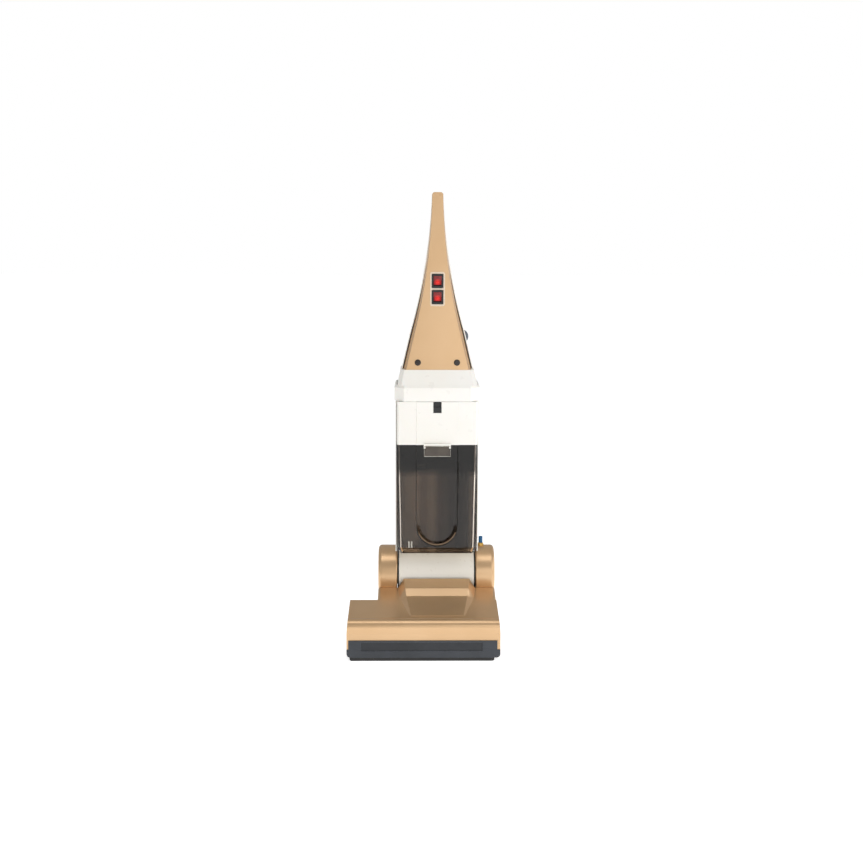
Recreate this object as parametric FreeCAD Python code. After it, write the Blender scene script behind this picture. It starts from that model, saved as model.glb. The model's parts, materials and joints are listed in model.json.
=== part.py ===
import FreeCAD, Part
import math
import os

from FreeCAD import Vector

# Upright carpet extractor, in millimetres.
# +X is the machine's right seen from the front, +Y points to the back, +Z is up.
# The origin is on the floor, under the middle of the floor head.

# ---- driving dimensions -------------------------------------------------------------------------
# floor head
HEAD_WIDTH = 364.0            # full width of the nozzle and its hood
HEAD_FRONT_Y = -165.0         # front of the hood's nose
HOOD_BACK_Y = -62.0           # seam between front hood and rear deck
HOOD_BACK_Z = 121.0           # height of the hood at that seam
HOOD_CREASE_Y = -143.0        # crease between hood top and rounded nose
HOOD_CREASE_Z = 98.0
NOSE_MID_Z = 77.0             # height where the nose stands furthest out
NOSE_BULGE = 3.0              # how far the nose stands past the lower band
BAND_TOP_Z = 65.0             # groove between nose and lower band
BUMPER_TOP_Z = 49.0
BUMPER_STEP_Z = 27.0          # below this height the bumper runs the full width
BUMPER_DEPTH = 14.0
LIP_HEIGHT = 8.0              # rubber lip below the bumper
END_DRAFT = 6.0               # how much each end of the hood leans in at the top
HEAD_WALL = 3.0

# carriage behind the floor head
BODY_OFFSET_X = 33.0          # the upright body's middle plane
CARRIAGE_WIDTH = 288.0
CARRIAGE_BACK_Y = 146.0
DECK_REAR_Z = 96.0            # height of the deck behind the pivot
DECK_MID_Z = 136.0            # height of the deck in front of the pivot covers
CHASSIS_Z = 16.0
CHASSIS_PLATE = 4.0

# recline pivot
PIVOT_Y = 60.0
PIVOT_Z = 163.0
PIVOT_PIN_RADIUS = 10.0
PIVOT_COVER_RADIUS = 66.0
BARREL_RADIUS = 61.0
BARREL_LENGTH = 185.0
END_CAP_LENGTH = 3.5
BRACKET_THICKNESS = 9.0

# brush drive
BRUSH_Y = -103.0
BRUSH_Z = 35.0
BRUSH_CORE_RADIUS = 19.0
BRISTLE_LENGTH = 15.0
BRISTLE_RADIUS = 2.2
MOTOR_Y = -20.0
MOTOR_Z = 72.0
MOTOR_RADIUS = 33.0
MOTOR_LENGTH = 104.0
BRUSH_PULLEY_RADIUS = 14.0
MOTOR_PULLEY_RADIUS = 9.0
BELT_WIDTH = 10.0
BELT_THICKNESS = 2.5

# wheels
REAR_WHEEL_RADIUS = 48.0
REAR_WHEEL_WIDTH = 26.0
REAR_WHEEL_Y = 115.0
TYRE_THICKNESS = 8.0
AXLE_RADIUS = 6.0
ROLLER_RADIUS = 13.0
ROLLER_WIDTH = 24.0
ROLLER_Y = -36.0

# upright body, from the barrel up
TANK_GAP_Z = 7.0              # space between barrel and recovery tank
TANK_HEIGHT = 267.0
TANK_TOP_WIDTH = 194.0
TANK_BOTTOM_WIDTH = 185.0
TANK_FRONT_Y = -45.0
TANK_DEPTH = 84.0
TANK_WALL = 3.0
TANK_BEVEL = 15.0
GASKET_HEIGHT = 1.6
LID_HEIGHT = 104.0
LID_PROUD = 4.0               # the lid's face stands this far in front of the tank
PANEL_WIDTH = 101.0           # raised panel on the lid and recess in the tank
PANEL_PROUD = 1.5
RECESS_DEPTH = 13.0
BODY_WIDTH = 202.0
REAR_HOUSING_DEPTH = 60.0
RAIL_LENGTH = 46.0            # side rails that reach forward beside the tank
SHELL_WALL = 2.5
BAND_HEIGHT = 37.0
BAND_WIDTH = 206.0
BAND_FACE_WIDTH = 160.0
BAND_CHAMFER_DEPTH = 25.0
SHOULDER_HEIGHT = 36.0
SHOULDER_BOTTOM_WIDTH = 192.0
SHOULDER_TOP_WIDTH = 177.0
SHOULDER_TOP_Y = -24.0

# handle
HANDLE_LENGTH = 423.0
HANDLE_BASE_WIDTH = 175.0
HANDLE_KNEE = (65.5, 93.0)    # half width, height: straight flank turns into the curve
HANDLE_MIDDLE = (31.5, 243.0)
HANDLE_TIP = (13.6, 415.0)
HANDLE_TOP_RADIUS = 6.0
HANDLE_LEAN = 4.0             # degrees, backwards
COVER_DEPTH = 16.0
COVER_FACE_INSET = 12.5       # of the cover's face from the rear shell's outline, at the shoulder
COVER_BACK_INSET = 5.5
HANDLE_BACK_BASE_DEPTH = 96.0
HANDLE_BACK_TOP_DEPTH = 26.0
LOOP_LOW = 239.0
LOOP_HIGH = 401.0
LOOP_REACH = 62.0
LOOP_WIDTH = 22.0
LOOP_BAR = 24.0

# switches on the handle
SURROUND_WIDTH = 35.0
SURROUND_HEIGHT = 81.0
SURROUND_CORNER = 5.0
SWITCH_RISE = 193.0           # from the shoulder's top to halfway between the switches
SURROUND_PROUD = 1.6
SWITCH_PITCH = 38.4
SWITCH_WIDTH = 28.0
SWITCH_HEIGHT = 34.0
ROCKER_WIDTH = 19.0
ROCKER_HEIGHT = 23.0
ROCKER_TILT = 8.0
ROCKER_PIN_RADIUS = 1.5
SWITCH_BODY_DEPTH = 13.0
CAP_SCREW_RADIUS = 7.6
CAP_SCREW_SPACING = 94.0
CAP_SCREW_RISE = 17.5

# small parts
CLIP_WIDTH = 65.0
CLIP_HEIGHT = 28.0
CLIP_THICKNESS = 4.0
CLIP_PIN_RADIUS = 2.0
LATCH_WIDTH = 20.0
LATCH_HEIGHT = 27.0
LATCH_DEPTH = 9.0
HOOK_REACH = 78.0
HOOK_HEIGHT = 36.0
HOOK_RISE = 80.0
NIPPLE_RADIUS = 3.6
NIPPLE_HEIGHT = 18.0
NIPPLE_FOOT_RADIUS = 7.5
NIPPLE_FOOT_HEIGHT = 7.0
CAP_RADIUS = 5.0
JOURNAL_RADIUS = 5.0          # shaft ends of the brush, the motors and the fan
SPRAY_TIP_RADIUS = 3.0
ROLLER_AXLE = 3.0             # radius
PEDAL_PIN = 3.0               # radius
CAP_NECK = 17.0               # radius of the filler neck
FLOAT_RADIUS = 15.0
GLAND_RADIUS = 7.0
HOOK_PIN = 4.0                # radius
GLAND_OFFSET = 30.0           # of the cord's way in from the middle plane, to the left
GLAND_RISE = 30.0             # above the shoulder's top
CAP_DROP = 44.0               # of the filler cap below the band
ROLLER_SPREAD = 70.0          # of each front roller from the middle plane
PEDAL_Z = 62.0
VACUUM_CAN_RADIUS = 40.0
VACUUM_CAN_LENGTH = 80.0
SHROUD_RADIUS = 54.0          # round the suction fan
CAGE_RADIUS = 23.0            # of the float's cage
INLET_RADIUS = 15.0
DUCT_RADIUS = 17.0            # from the lid to the suction motor
FLOAT_OFFSET = 40.0           # of the float from the body's middle plane, to the left

# clearances
MOVING_GAP = 0.5              # round moving surfaces, and pieces that slide past each other
RUNNING_GAP = 0.06            # radial, shaft in bore
SEAT_GAP = 0.15               # between pieces of one body that only lie against each other
FAR = 600.0                   # past every face, for volumes that only cut
WHEEL_GAP = 5.0               # around a wheel inside its arch

# ---- places that follow from the sizes ----------------------------------------------------------
HEAD_HALF = HEAD_WIDTH / 2
CARRIAGE_LEFT = BODY_OFFSET_X - CARRIAGE_WIDTH / 2
CARRIAGE_RIGHT = BODY_OFFSET_X + CARRIAGE_WIDTH / 2
BARREL_HALF = BARREL_LENGTH / 2
COVER_INNER = BARREL_HALF + END_CAP_LENGTH + 1.0
FLOAT_X = BODY_OFFSET_X - FLOAT_OFFSET
BRACKET_MIDDLE = CARRIAGE_WIDTH / 2 - 25.0
TANK_BOTTOM_Z = PIVOT_Z + BARREL_RADIUS + TANK_GAP_Z
TANK_TOP_Z = TANK_BOTTOM_Z + TANK_HEIGHT
TANK_BACK_Y = TANK_FRONT_Y + TANK_DEPTH
LID_BOTTOM_Z = TANK_TOP_Z + GASKET_HEIGHT
LID_TOP_Z = LID_BOTTOM_Z + LID_HEIGHT
LID_FRONT_Y = TANK_FRONT_Y - LID_PROUD
HOUSING_FRONT_Y = TANK_BACK_Y + 3.0
HOUSING_BACK_Y = HOUSING_FRONT_Y + REAR_HOUSING_DEPTH
BAND_BOTTOM_Z = LID_TOP_Z + 1.0
BAND_TOP_EDGE_Z = BAND_BOTTOM_Z + BAND_HEIGHT
SHOULDER_TOP_Z = BAND_TOP_EDGE_Z + SHOULDER_HEIGHT
BAND_FRONT_Y = LID_FRONT_Y - 3.0
HANDLE_FRONT_Y = SHOULDER_TOP_Y + 2.0
BRISTLE_TIP_RADIUS = BRUSH_CORE_RADIUS + BRISTLE_LENGTH
DRIVE_X = HEAD_HALF - 22.0    # middle plane of the belt drive


# ---- shape helpers ------------------------------------------------------------------------------


def box(x0, x1, y0, y1, z0, z1):
    return Part.makeBox(x1 - x0, y1 - y0, z1 - z0, Vector(x0, y0, z0))


def rod_x(radius, x0, x1, y, z):
    return Part.makeCylinder(radius, x1 - x0, Vector(x0, y, z), Vector(1, 0, 0))


def rod_y(radius, y0, y1, x, z):
    return Part.makeCylinder(radius, y1 - y0, Vector(x, y0, z), Vector(0, 1, 0))


def rod_z(radius, z0, z1, x, y):
    return Part.makeCylinder(radius, z1 - z0, Vector(x, y, z0), Vector(0, 0, 1))


def polygon(points):
    return Part.makePolygon(points + [points[0]])


def prism_x(points, x0, x1):
    face = Part.Face(polygon([Vector(x0, y, z) for y, z in points]))
    return face.extrude(Vector(x1 - x0, 0, 0))


def prism_y(points, y0, y1):
    face = Part.Face(polygon([Vector(x, y0, z) for x, z in points]))
    return face.extrude(Vector(0, y1 - y0, 0))


def prism_z(points, z0, z1):
    face = Part.Face(polygon([Vector(x, y, z0) for x, y in points]))
    return face.extrude(Vector(0, 0, z1 - z0))


def frustum_z(low_points, low_z, high_points, high_z):
    low = polygon([Vector(x, y, low_z) for x, y in low_points])
    high = polygon([Vector(x, y, high_z) for x, y in high_points])
    return Part.makeLoft([low, high], True, True)


def fillet_where(shape, radius, chosen):
    edges = [edge for edge in shape.Edges if chosen(edge)]
    return shape.makeFillet(radius, edges) if edges else shape


def along(edge, axis):
    if edge.Curve.TypeId != "Part::GeomLine":
        return False
    direction = edge.tangentAt(edge.FirstParameter)
    return abs(getattr(direction, axis)) > 0.999


def rounded_bar(x0, x1, y0, y1, z0, z1, radius, axis):
    return fillet_where(box(x0, x1, y0, y1, z0, z1), radius, lambda edge: along(edge, axis))


def mirrored(shape):
    return shape.mirror(Vector(BODY_OFFSET_X, 0, 0), Vector(1, 0, 0))


def both_sides(shape):
    return Part.makeCompound([shape, mirrored(shape)])


def export(name, shape):
    assert shape.isValid(), name
    shape.exportStep("parts/" + name + ".step")


# ---- floor head ---------------------------------------------------------------------------------


def hood_profile(inset):
    """Side outline of the front hood, from the seam over the nose to the lower edge."""
    front = HEAD_FRONT_Y + NOSE_BULGE + inset
    nose_front = HEAD_FRONT_Y + inset
    back = HOOD_BACK_Y
    crease = Vector(0, HOOD_CREASE_Y + inset * 0.4, HOOD_CREASE_Z - inset)
    nose = Vector(0, nose_front, NOSE_MID_Z)
    groove = Vector(0, front, BAND_TOP_Z)
    low = Vector(0, front, BUMPER_STEP_Z)
    top = Vector(0, back, HOOD_BACK_Z - inset)
    over = Vector(0, nose_front + 4.0, HOOD_CREASE_Z - inset - 6.0)
    edges = [
        Part.makeLine(top, crease),
        Part.Arc(crease, over, nose).toShape(),
        Part.makeLine(nose, groove),
        Part.makeLine(groove, low),
        Part.makeLine(low, Vector(0, back, BUMPER_STEP_Z)),
        Part.makeLine(Vector(0, back, BUMPER_STEP_Z), top),
    ]
    return Part.Wire(edges)


def hood_volume(inset):
    half = HEAD_HALF - inset
    face = Part.Face(hood_profile(inset))
    face.translate(Vector(-half, 0, 0))
    body = face.extrude(Vector(2 * half, 0, 0))
    top_half = half - END_DRAFT
    trapezoid = [(-half, 0), (half, 0), (half, BAND_TOP_Z), (top_half, HOOD_BACK_Z + 20),
                 (-top_half, HOOD_BACK_Z + 20), (-half, BAND_TOP_Z)]
    return body.common(prism_y(trapezoid, HEAD_FRONT_Y - 5, HOOD_BACK_Y + 5))


def hump(inset):
    """Raised neck in the middle, which runs from the barrel over the seam and down the hood."""
    sections = [(-8.0, 97.0, DECK_MID_Z - 3, 81.0, DECK_MID_Z + 24),
                (-45.0, 92.0, HOOD_BACK_Z + 3, 77.0, DECK_MID_Z + 9),
                (HOOD_BACK_Y, 89.0, HOOD_BACK_Z - 1, 74.0, HOOD_BACK_Z + 9.5),
                (-134.0, 68.0, HOOD_CREASE_Z + 1, 63.0, HOOD_CREASE_Z + 3.5)]
    wires = []
    for y, half_base, base_z, half_top, top_z in sections:
        base = half_base - inset
        top = half_top - inset * 0.6
        wires.append(polygon([Vector(BODY_OFFSET_X + x, y, z) for x, z in (
            (-base, 60.0), (-base, base_z - inset), (-top, top_z - inset), (top, top_z - inset),
            (base, base_z - inset), (base, 60.0))]))
    return Part.makeLoft(wires, True, True)


def front_hood():
    outer = hood_volume(0).fuse(hump(0).common(box(-FAR, FAR, HEAD_FRONT_Y, HOOD_BACK_Y, 0, 300)))
    inner = hood_volume(HEAD_WALL)
    ends = box(-HEAD_HALF + 4, HEAD_HALF - 7, HEAD_FRONT_Y - 5, HOOD_BACK_Y, 0, BUMPER_TOP_Z)
    open_back = box(CARRIAGE_LEFT + 4, CARRIAGE_RIGHT - 4, HOOD_BACK_Y - 10, HOOD_BACK_Y + 5, 0,
                    HOOD_BACK_Z - HEAD_WALL - 4)
    back_wall = box(-HEAD_HALF + 1, CARRIAGE_LEFT + 4, HOOD_BACK_Y - HEAD_WALL, HOOD_BACK_Y,
                    BUMPER_STEP_Z, HOOD_BACK_Z - 2).common(hood_volume(1.0))
    return outer.cut(inner).cut(ends.cut(back_wall)).cut(open_back).fuse(back_wall).removeSplitter()


def front_bumper():
    """Dark plastic bumper below the hood, with a shallow window in its face."""
    front = HEAD_FRONT_Y
    back = front + BUMPER_DEPTH
    side = SEAT_GAP
    upper = box(-HEAD_HALF + 4 + side, HEAD_HALF - 7 - side, front, back, BUMPER_STEP_Z,
                BUMPER_TOP_Z - side)
    lower = box(-HEAD_HALF, HEAD_HALF, front, back, LIP_HEIGHT, BUMPER_STEP_Z - side)
    lower = fillet_where(lower, 9.0, lambda edge: along(edge, "y")
                         and edge.CenterOfMass.z < LIP_HEIGHT + 1)
    sill = box(-HEAD_HALF + 20, HEAD_HALF - 20, back, back + 4, LIP_HEIGHT, BUMPER_TOP_Z - 6)
    return upper.fuse([lower, sill]).removeSplitter().cut(window_box(0))


def window_box(gap):
    return box(-HEAD_HALF + 34 + gap, HEAD_HALF - 42 - gap, HEAD_FRONT_Y - 1, HEAD_FRONT_Y + 2.5,
               BUMPER_STEP_Z - 3 + gap, BUMPER_TOP_Z - 4 - gap)


def bumper_window():
    return window_box(SEAT_GAP).common(box(-FAR, FAR, HEAD_FRONT_Y + 1.2, HEAD_FRONT_Y + 2.5, 0, 99))


def squeegee_lip():
    lip = box(-HEAD_HALF + 7, HEAD_HALF - 14, HEAD_FRONT_Y + 1, HEAD_FRONT_Y + BUMPER_DEPTH - 2,
              0, LIP_HEIGHT)
    return fillet_where(lip, 5.0, lambda edge: along(edge, "y") and edge.CenterOfMass.z < 1)


def brush_housing():
    """Tunnel over the brush, with an end wall at each side that holds a brush bearing."""
    half = HEAD_HALF - HEAD_WALL - 4
    front = HEAD_FRONT_Y + BUMPER_DEPTH + 5
    back = HOOD_BACK_Y - HEAD_WALL - 0.5
    top = BRUSH_Z + BRISTLE_TIP_RADIUS + 8
    outer = box(-half, half, front, back, LIP_HEIGHT + 2, top)
    outer = fillet_where(outer, 20.0, lambda edge: along(edge, "x") and edge.CenterOfMass.z > top - 1)
    inside = DRIVE_X - BELT_WIDTH / 2 - 4
    cavity = rod_x(BRISTLE_TIP_RADIUS + 4, -half + 5, inside, BRUSH_Y, BRUSH_Z)
    cavity = cavity.fuse(box(-half + 5, inside, front + 3, back - 3, 0, BRUSH_Z))
    drive = box(inside + 4, half + 1, front + 3, back + 5, 0, top + 1)
    bores = rod_x(bearing_radius(), -half - 1, half + 1, BRUSH_Y, BRUSH_Z)
    holes = [rod_z(SPRAY_TIP_RADIUS + SEAT_GAP, top - 20, top + 1, x, spray_y()) for x in spray_places()]
    return outer.cut(cavity).cut([drive, bores] + holes)


def bearing_radius():
    return BRUSH_CORE_RADIUS * 0.5


def brush_end_left():
    return -HEAD_HALF + HEAD_WALL + 4


def brush_core():
    """Roller with a journal at each end; the right one carries the pulley."""
    left = brush_end_left() + 5
    right = DRIVE_X - BELT_WIDTH / 2 - 4
    core = rod_x(BRUSH_CORE_RADIUS, left + 2, right - 2, BRUSH_Y, BRUSH_Z)
    journal = rod_x(JOURNAL_RADIUS, left - 4, DRIVE_X + BELT_WIDTH / 2 + 2, BRUSH_Y, BRUSH_Z)
    return core.fuse(journal).removeSplitter()


def brush_bristles():
    """Two helical rows of tufts standing on the core."""
    left = brush_end_left() + 16
    right = DRIVE_X - BELT_WIDTH / 2 - 16
    count = 22
    tufts = []
    for row in range(2):
        for index in range(count):
            x = left + (right - left) * index / (count - 1)
            angle = math.pi * row + 2 * math.pi * index / count
            out = Vector(0, math.cos(angle), math.sin(angle))
            start = Vector(x, BRUSH_Y, BRUSH_Z) + out * BRUSH_CORE_RADIUS
            tufts.append(Part.makeCylinder(BRISTLE_RADIUS, BRISTLE_LENGTH, start, out))
    core = rod_x(BRUSH_CORE_RADIUS, left - 10, right + 10, BRUSH_Y, BRUSH_Z)
    return Part.makeCompound([tuft.cut(core) for tuft in tufts])


def ring_x(outer, inner, x0, x1, y, z):
    return rod_x(outer, x0, x1, y, z).cut(rod_x(inner, x0 - 1, x1 + 1, y, z))


def brush_bearings():
    left = brush_end_left()
    inner = JOURNAL_RADIUS + RUNNING_GAP
    right = DRIVE_X - BELT_WIDTH / 2 - 4
    return Part.makeCompound([
        ring_x(bearing_radius() - 0.05, inner, left, left + 5, BRUSH_Y, BRUSH_Z),
        ring_x(bearing_radius() - 0.05, inner, right, right + 4, BRUSH_Y, BRUSH_Z),
    ])


def pulley(radius, bore, y, z):
    half = BELT_WIDTH / 2
    wheel = rod_x(radius, DRIVE_X - half, DRIVE_X + half, y, z)
    return wheel.cut(rod_x(bore, DRIVE_X - half - 1, DRIVE_X + half + 1, y, z))


def belt_outline(extra):
    """Both pulleys with the straight runs between them, grown by a radial distance."""
    reach_y = MOTOR_Y - BRUSH_Y
    reach_z = MOTOR_Z - BRUSH_Z
    length = math.hypot(reach_y, reach_z)
    heading = math.atan2(reach_z, reach_y)
    big = BRUSH_PULLEY_RADIUS + extra
    small = MOTOR_PULLEY_RADIUS + extra
    lean = math.asin((big - small) / length)
    corners = []
    for side, y, z, radius in ((1, BRUSH_Y, BRUSH_Z, big), (1, MOTOR_Y, MOTOR_Z, small),
                               (-1, MOTOR_Y, MOTOR_Z, small), (-1, BRUSH_Y, BRUSH_Z, big)):
        angle = heading + side * (math.pi / 2 - lean)
        corners.append((y + radius * math.cos(angle), z + radius * math.sin(angle)))
    half = BELT_WIDTH / 2 - 0.5
    run = prism_x(corners, DRIVE_X - half, DRIVE_X + half)
    return run.fuse([rod_x(big, DRIVE_X - half, DRIVE_X + half, BRUSH_Y, BRUSH_Z),
                     rod_x(small, DRIVE_X - half, DRIVE_X + half, MOTOR_Y, MOTOR_Z)])


def drive_belt():
    return belt_outline(MOVING_GAP + BELT_THICKNESS).cut(belt_outline(MOVING_GAP))


def brush_motor():
    """Motor can; its shaft turns in a bore through both ends."""
    right = DRIVE_X - BELT_WIDTH / 2 - 12
    can = rod_x(MOTOR_RADIUS, right - MOTOR_LENGTH, right, MOTOR_Y, MOTOR_Z)
    can = fillet_where(can, 4.0, lambda edge: edge.Closed)
    foot = box(right - MOTOR_LENGTH + 15, right - 15, ROLLER_Y + ROLLER_RADIUS + 5, MOTOR_Y + 24,
               CHASSIS_Z + CHASSIS_PLATE, MOTOR_Z - MOTOR_RADIUS * 0.7)
    bore = rod_x(JOURNAL_RADIUS + RUNNING_GAP, right - MOTOR_LENGTH - 1, right + 1, MOTOR_Y, MOTOR_Z)
    return can.fuse(foot).cut(bore)


def motor_shaft():
    right = DRIVE_X - BELT_WIDTH / 2 - 12
    return rod_x(JOURNAL_RADIUS, right - MOTOR_LENGTH - 3, DRIVE_X + BELT_WIDTH / 2 + 2,
                 MOTOR_Y, MOTOR_Z)


def spray_bar():
    """Water pipe above the brush tunnel with its row of nozzles."""
    y = spray_y()
    z = BRUSH_Z + BRISTLE_TIP_RADIUS + 12.3
    pipe = rod_x(4.0, -HEAD_HALF + 40, HEAD_HALF - 60, y, z)
    return pipe.fuse([rod_z(SPRAY_TIP_RADIUS, z - 9, z, x, y) for x in spray_places()])


def spray_y():
    return HEAD_FRONT_Y + BUMPER_DEPTH + 17


def spray_places():
    first = -HEAD_HALF + 60
    last = HEAD_HALF - 90
    return [first + (last - first) * index / 3 for index in range(4)]


# ---- carriage -----------------------------------------------------------------------------------


def base_chassis():
    """Floor plate with pivot brackets and axle bosses standing on it."""
    top = CHASSIS_Z + CHASSIS_PLATE
    left = CARRIAGE_LEFT + HEAD_WALL + 1
    right = CARRIAGE_RIGHT - HEAD_WALL - 1
    narrow = wheel_inner() - 6
    wide_back = REAR_WHEEL_Y - REAR_WHEEL_RADIUS - WHEEL_GAP - 4
    plate = prism_z([(left, HOOD_BACK_Y + 1), (DRIVE_X - BELT_WIDTH / 2 - 5, HOOD_BACK_Y + 1),
                     (DRIVE_X - BELT_WIDTH / 2 - 5, MOTOR_Y + 20), (right, MOTOR_Y + 20),
                     (right, wide_back), (BODY_OFFSET_X + narrow, wide_back),
                     (BODY_OFFSET_X + narrow, CARRIAGE_BACK_Y - 6),
                     (BODY_OFFSET_X - narrow, CARRIAGE_BACK_Y - 6),
                     (BODY_OFFSET_X - narrow, wide_back), (left, wide_back)], CHASSIS_Z, top)
    solids = []
    for side in (-1, 1):
        inner = BODY_OFFSET_X + side * BRACKET_MIDDLE - BRACKET_THICKNESS / 2
        outer = inner + BRACKET_THICKNESS
        solids.append(prism_x([(PIVOT_Y - 34, top), (PIVOT_Y - 8, top), (PIVOT_Y + 20, PIVOT_Z),
                               (PIVOT_Y - 20, PIVOT_Z)], inner, outer))
        solids.append(rod_x(20.0, inner, outer, PIVOT_Y, PIVOT_Z))
        boss = BODY_OFFSET_X + side * (narrow - 6)
        solids.append(box(boss - 5, boss + 5, REAR_WHEEL_Y - 14, REAR_WHEEL_Y + 14, top,
                          REAR_WHEEL_RADIUS + 14))
        solids.append(box(boss - 5, boss + 5, ROLLER_Y - 9, ROLLER_Y + 9, 9.0, top))
    chassis = plate.fuse(solids + [pedal_bracket()]).removeSplitter()
    cuts = [rod_x(PIVOT_PIN_RADIUS + RUNNING_GAP, CARRIAGE_LEFT, CARRIAGE_RIGHT, PIVOT_Y, PIVOT_Z),
            rod_x(AXLE_RADIUS + RUNNING_GAP, CARRIAGE_LEFT, CARRIAGE_RIGHT, REAR_WHEEL_Y,
                  REAR_WHEEL_RADIUS),
            rod_x(ROLLER_AXLE + RUNNING_GAP, CARRIAGE_LEFT, CARRIAGE_RIGHT, ROLLER_Y, ROLLER_RADIUS)]
    for x in roller_places():
        cuts.append(box(x - ROLLER_WIDTH / 2 - 3, x + ROLLER_WIDTH / 2 + 3,
                        ROLLER_Y - ROLLER_RADIUS - 3, ROLLER_Y + ROLLER_RADIUS + 3, 0, top + 1))
    return chassis.cut(cuts)


def wheel_inner():
    """Distance from the middle plane to the inner face of a rear wheel."""
    return CARRIAGE_WIDTH / 2 - HEAD_WALL - 2.5 - REAR_WHEEL_WIDTH


def roller_places():
    return [BODY_OFFSET_X - ROLLER_SPREAD, BODY_OFFSET_X + ROLLER_SPREAD]


def front_rollers():
    """Two rollers fixed on one thin axle."""
    axle = rod_x(ROLLER_AXLE, BODY_OFFSET_X - wheel_inner() + 8, BODY_OFFSET_X + wheel_inner() - 8,
                 ROLLER_Y, ROLLER_RADIUS)
    wheels = [fillet_where(rod_x(ROLLER_RADIUS, x - ROLLER_WIDTH / 2, x + ROLLER_WIDTH / 2,
                                 ROLLER_Y, ROLLER_RADIUS), 2.0, lambda edge: edge.Closed)
              for x in roller_places()]
    return axle.fuse(wheels)


def rear_axle():
    return rod_x(AXLE_RADIUS, BODY_OFFSET_X - wheel_inner() - REAR_WHEEL_WIDTH - 2,
                 BODY_OFFSET_X + wheel_inner() + REAR_WHEEL_WIDTH + 2, REAR_WHEEL_Y, REAR_WHEEL_RADIUS)


def right_wheel():
    """Hub with a rim, recessed on both faces, and spokes between."""
    inner = BODY_OFFSET_X + wheel_inner()
    outer = inner + REAR_WHEEL_WIDTH
    rim = REAR_WHEEL_RADIUS - TYRE_THICKNESS
    hub = rod_x(rim, inner, outer, REAR_WHEEL_Y, REAR_WHEEL_RADIUS)
    for x0, x1 in ((inner - 1, inner + 7), (outer - 7, outer + 1)):
        hub = hub.cut(ring_x(rim - 4, AXLE_RADIUS + 7, x0, x1, REAR_WHEEL_Y, REAR_WHEEL_RADIUS))
    holes = []
    for index in range(6):
        angle = math.radians(60 * index)
        middle = (AXLE_RADIUS + 7 + rim - 4) / 2
        holes.append(rod_x(6.0, inner, outer, REAR_WHEEL_Y + middle * math.cos(angle),
                           REAR_WHEEL_RADIUS + middle * math.sin(angle)))
    bore = rod_x(AXLE_RADIUS + RUNNING_GAP, inner - 1, outer + 1, REAR_WHEEL_Y, REAR_WHEEL_RADIUS)
    return hub.cut(holes + [bore])


def right_tyre():
    inner = BODY_OFFSET_X + wheel_inner()
    outer = inner + REAR_WHEEL_WIDTH
    tyre = fillet_where(rod_x(REAR_WHEEL_RADIUS, inner, outer, REAR_WHEEL_Y, REAR_WHEEL_RADIUS), 4.0,
                        lambda edge: edge.Closed)
    return tyre.cut(rod_x(REAR_WHEEL_RADIUS - TYRE_THICKNESS, inner - 1, outer + 1,
                          REAR_WHEEL_Y, REAR_WHEEL_RADIUS))


def deck_volume(inset):
    """Closed outer form of the rear deck, wheel fenders included."""
    profile = [(HOOD_BACK_Y, CHASSIS_Z), (HOOD_BACK_Y, HOOD_BACK_Z - inset),
               (-4.0, DECK_MID_Z - inset), (PIVOT_Y + 20, DECK_MID_Z - 8 - inset),
               (CARRIAGE_BACK_Y - 24 - inset, DECK_REAR_Z + 14 - inset),
               (CARRIAGE_BACK_Y - inset, DECK_REAR_Z - 24 - inset), (CARRIAGE_BACK_Y - inset, CHASSIS_Z)]
    solid = prism_x(profile, CARRIAGE_LEFT + inset, CARRIAGE_RIGHT - inset)
    if inset:
        return solid
    return fillet_where(solid, 6.0, lambda edge: not along(edge, "x") and not along(edge, "z")
                        and edge.CenterOfMass.z > CHASSIS_Z + 30)


def barrel_opening():
    """Room for the barrel, its end caps and the body that leans back over the deck."""
    half = COVER_INNER + 1
    radius = BARREL_RADIUS + 3
    well = rod_x(radius, BODY_OFFSET_X - half, BODY_OFFSET_X + half, PIVOT_Y, PIVOT_Z)
    above = box(BODY_OFFSET_X - half, BODY_OFFSET_X + half, PIVOT_Y - radius, CARRIAGE_BACK_Y + 5,
                DECK_REAR_Z + 4, 400)
    return well.fuse(above)


def rear_deck():
    inner = deck_volume(HEAD_WALL)
    shell = deck_volume(0).cut(inner.fuse(box(CARRIAGE_LEFT + HEAD_WALL, CARRIAGE_RIGHT - HEAD_WALL,
                                              HOOD_BACK_Y - 1, CARRIAGE_BACK_Y - HEAD_WALL, 0, 40)))
    seam = box(CARRIAGE_LEFT + HEAD_WALL, CARRIAGE_RIGHT - HEAD_WALL, HOOD_BACK_Y - 1,
               HOOD_BACK_Y + 4, 0, HOOD_BACK_Z - HEAD_WALL)
    shell = shell.cut(seam).cut(barrel_opening()).cut(neck_gap())
    bracket_room = box(-BRACKET_THICKNESS / 2 - 2, BRACKET_THICKNESS / 2 + 2, PIVOT_Y - 36, PIVOT_Y + 24,
                       60, 300)
    arches = []
    for side in (-1, 1):
        room = bracket_room.copy()
        room.translate(Vector(BODY_OFFSET_X + side * BRACKET_MIDDLE, 0, 0))
        arches.append(room)
        outer = BODY_OFFSET_X + side * (CARRIAGE_WIDTH / 2 + 1)
        inner_x = BODY_OFFSET_X + side * (wheel_inner() - 3)
        arches.append(rod_x(REAR_WHEEL_RADIUS + WHEEL_GAP, min(outer, inner_x), max(outer, inner_x),
                            REAR_WHEEL_Y, REAR_WHEEL_RADIUS))
    return shell.cut(arches)


def neck_gap():
    return hump(0).common(box(-FAR, FAR, HOOD_BACK_Y - 1, 0, 60, FAR))


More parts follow.
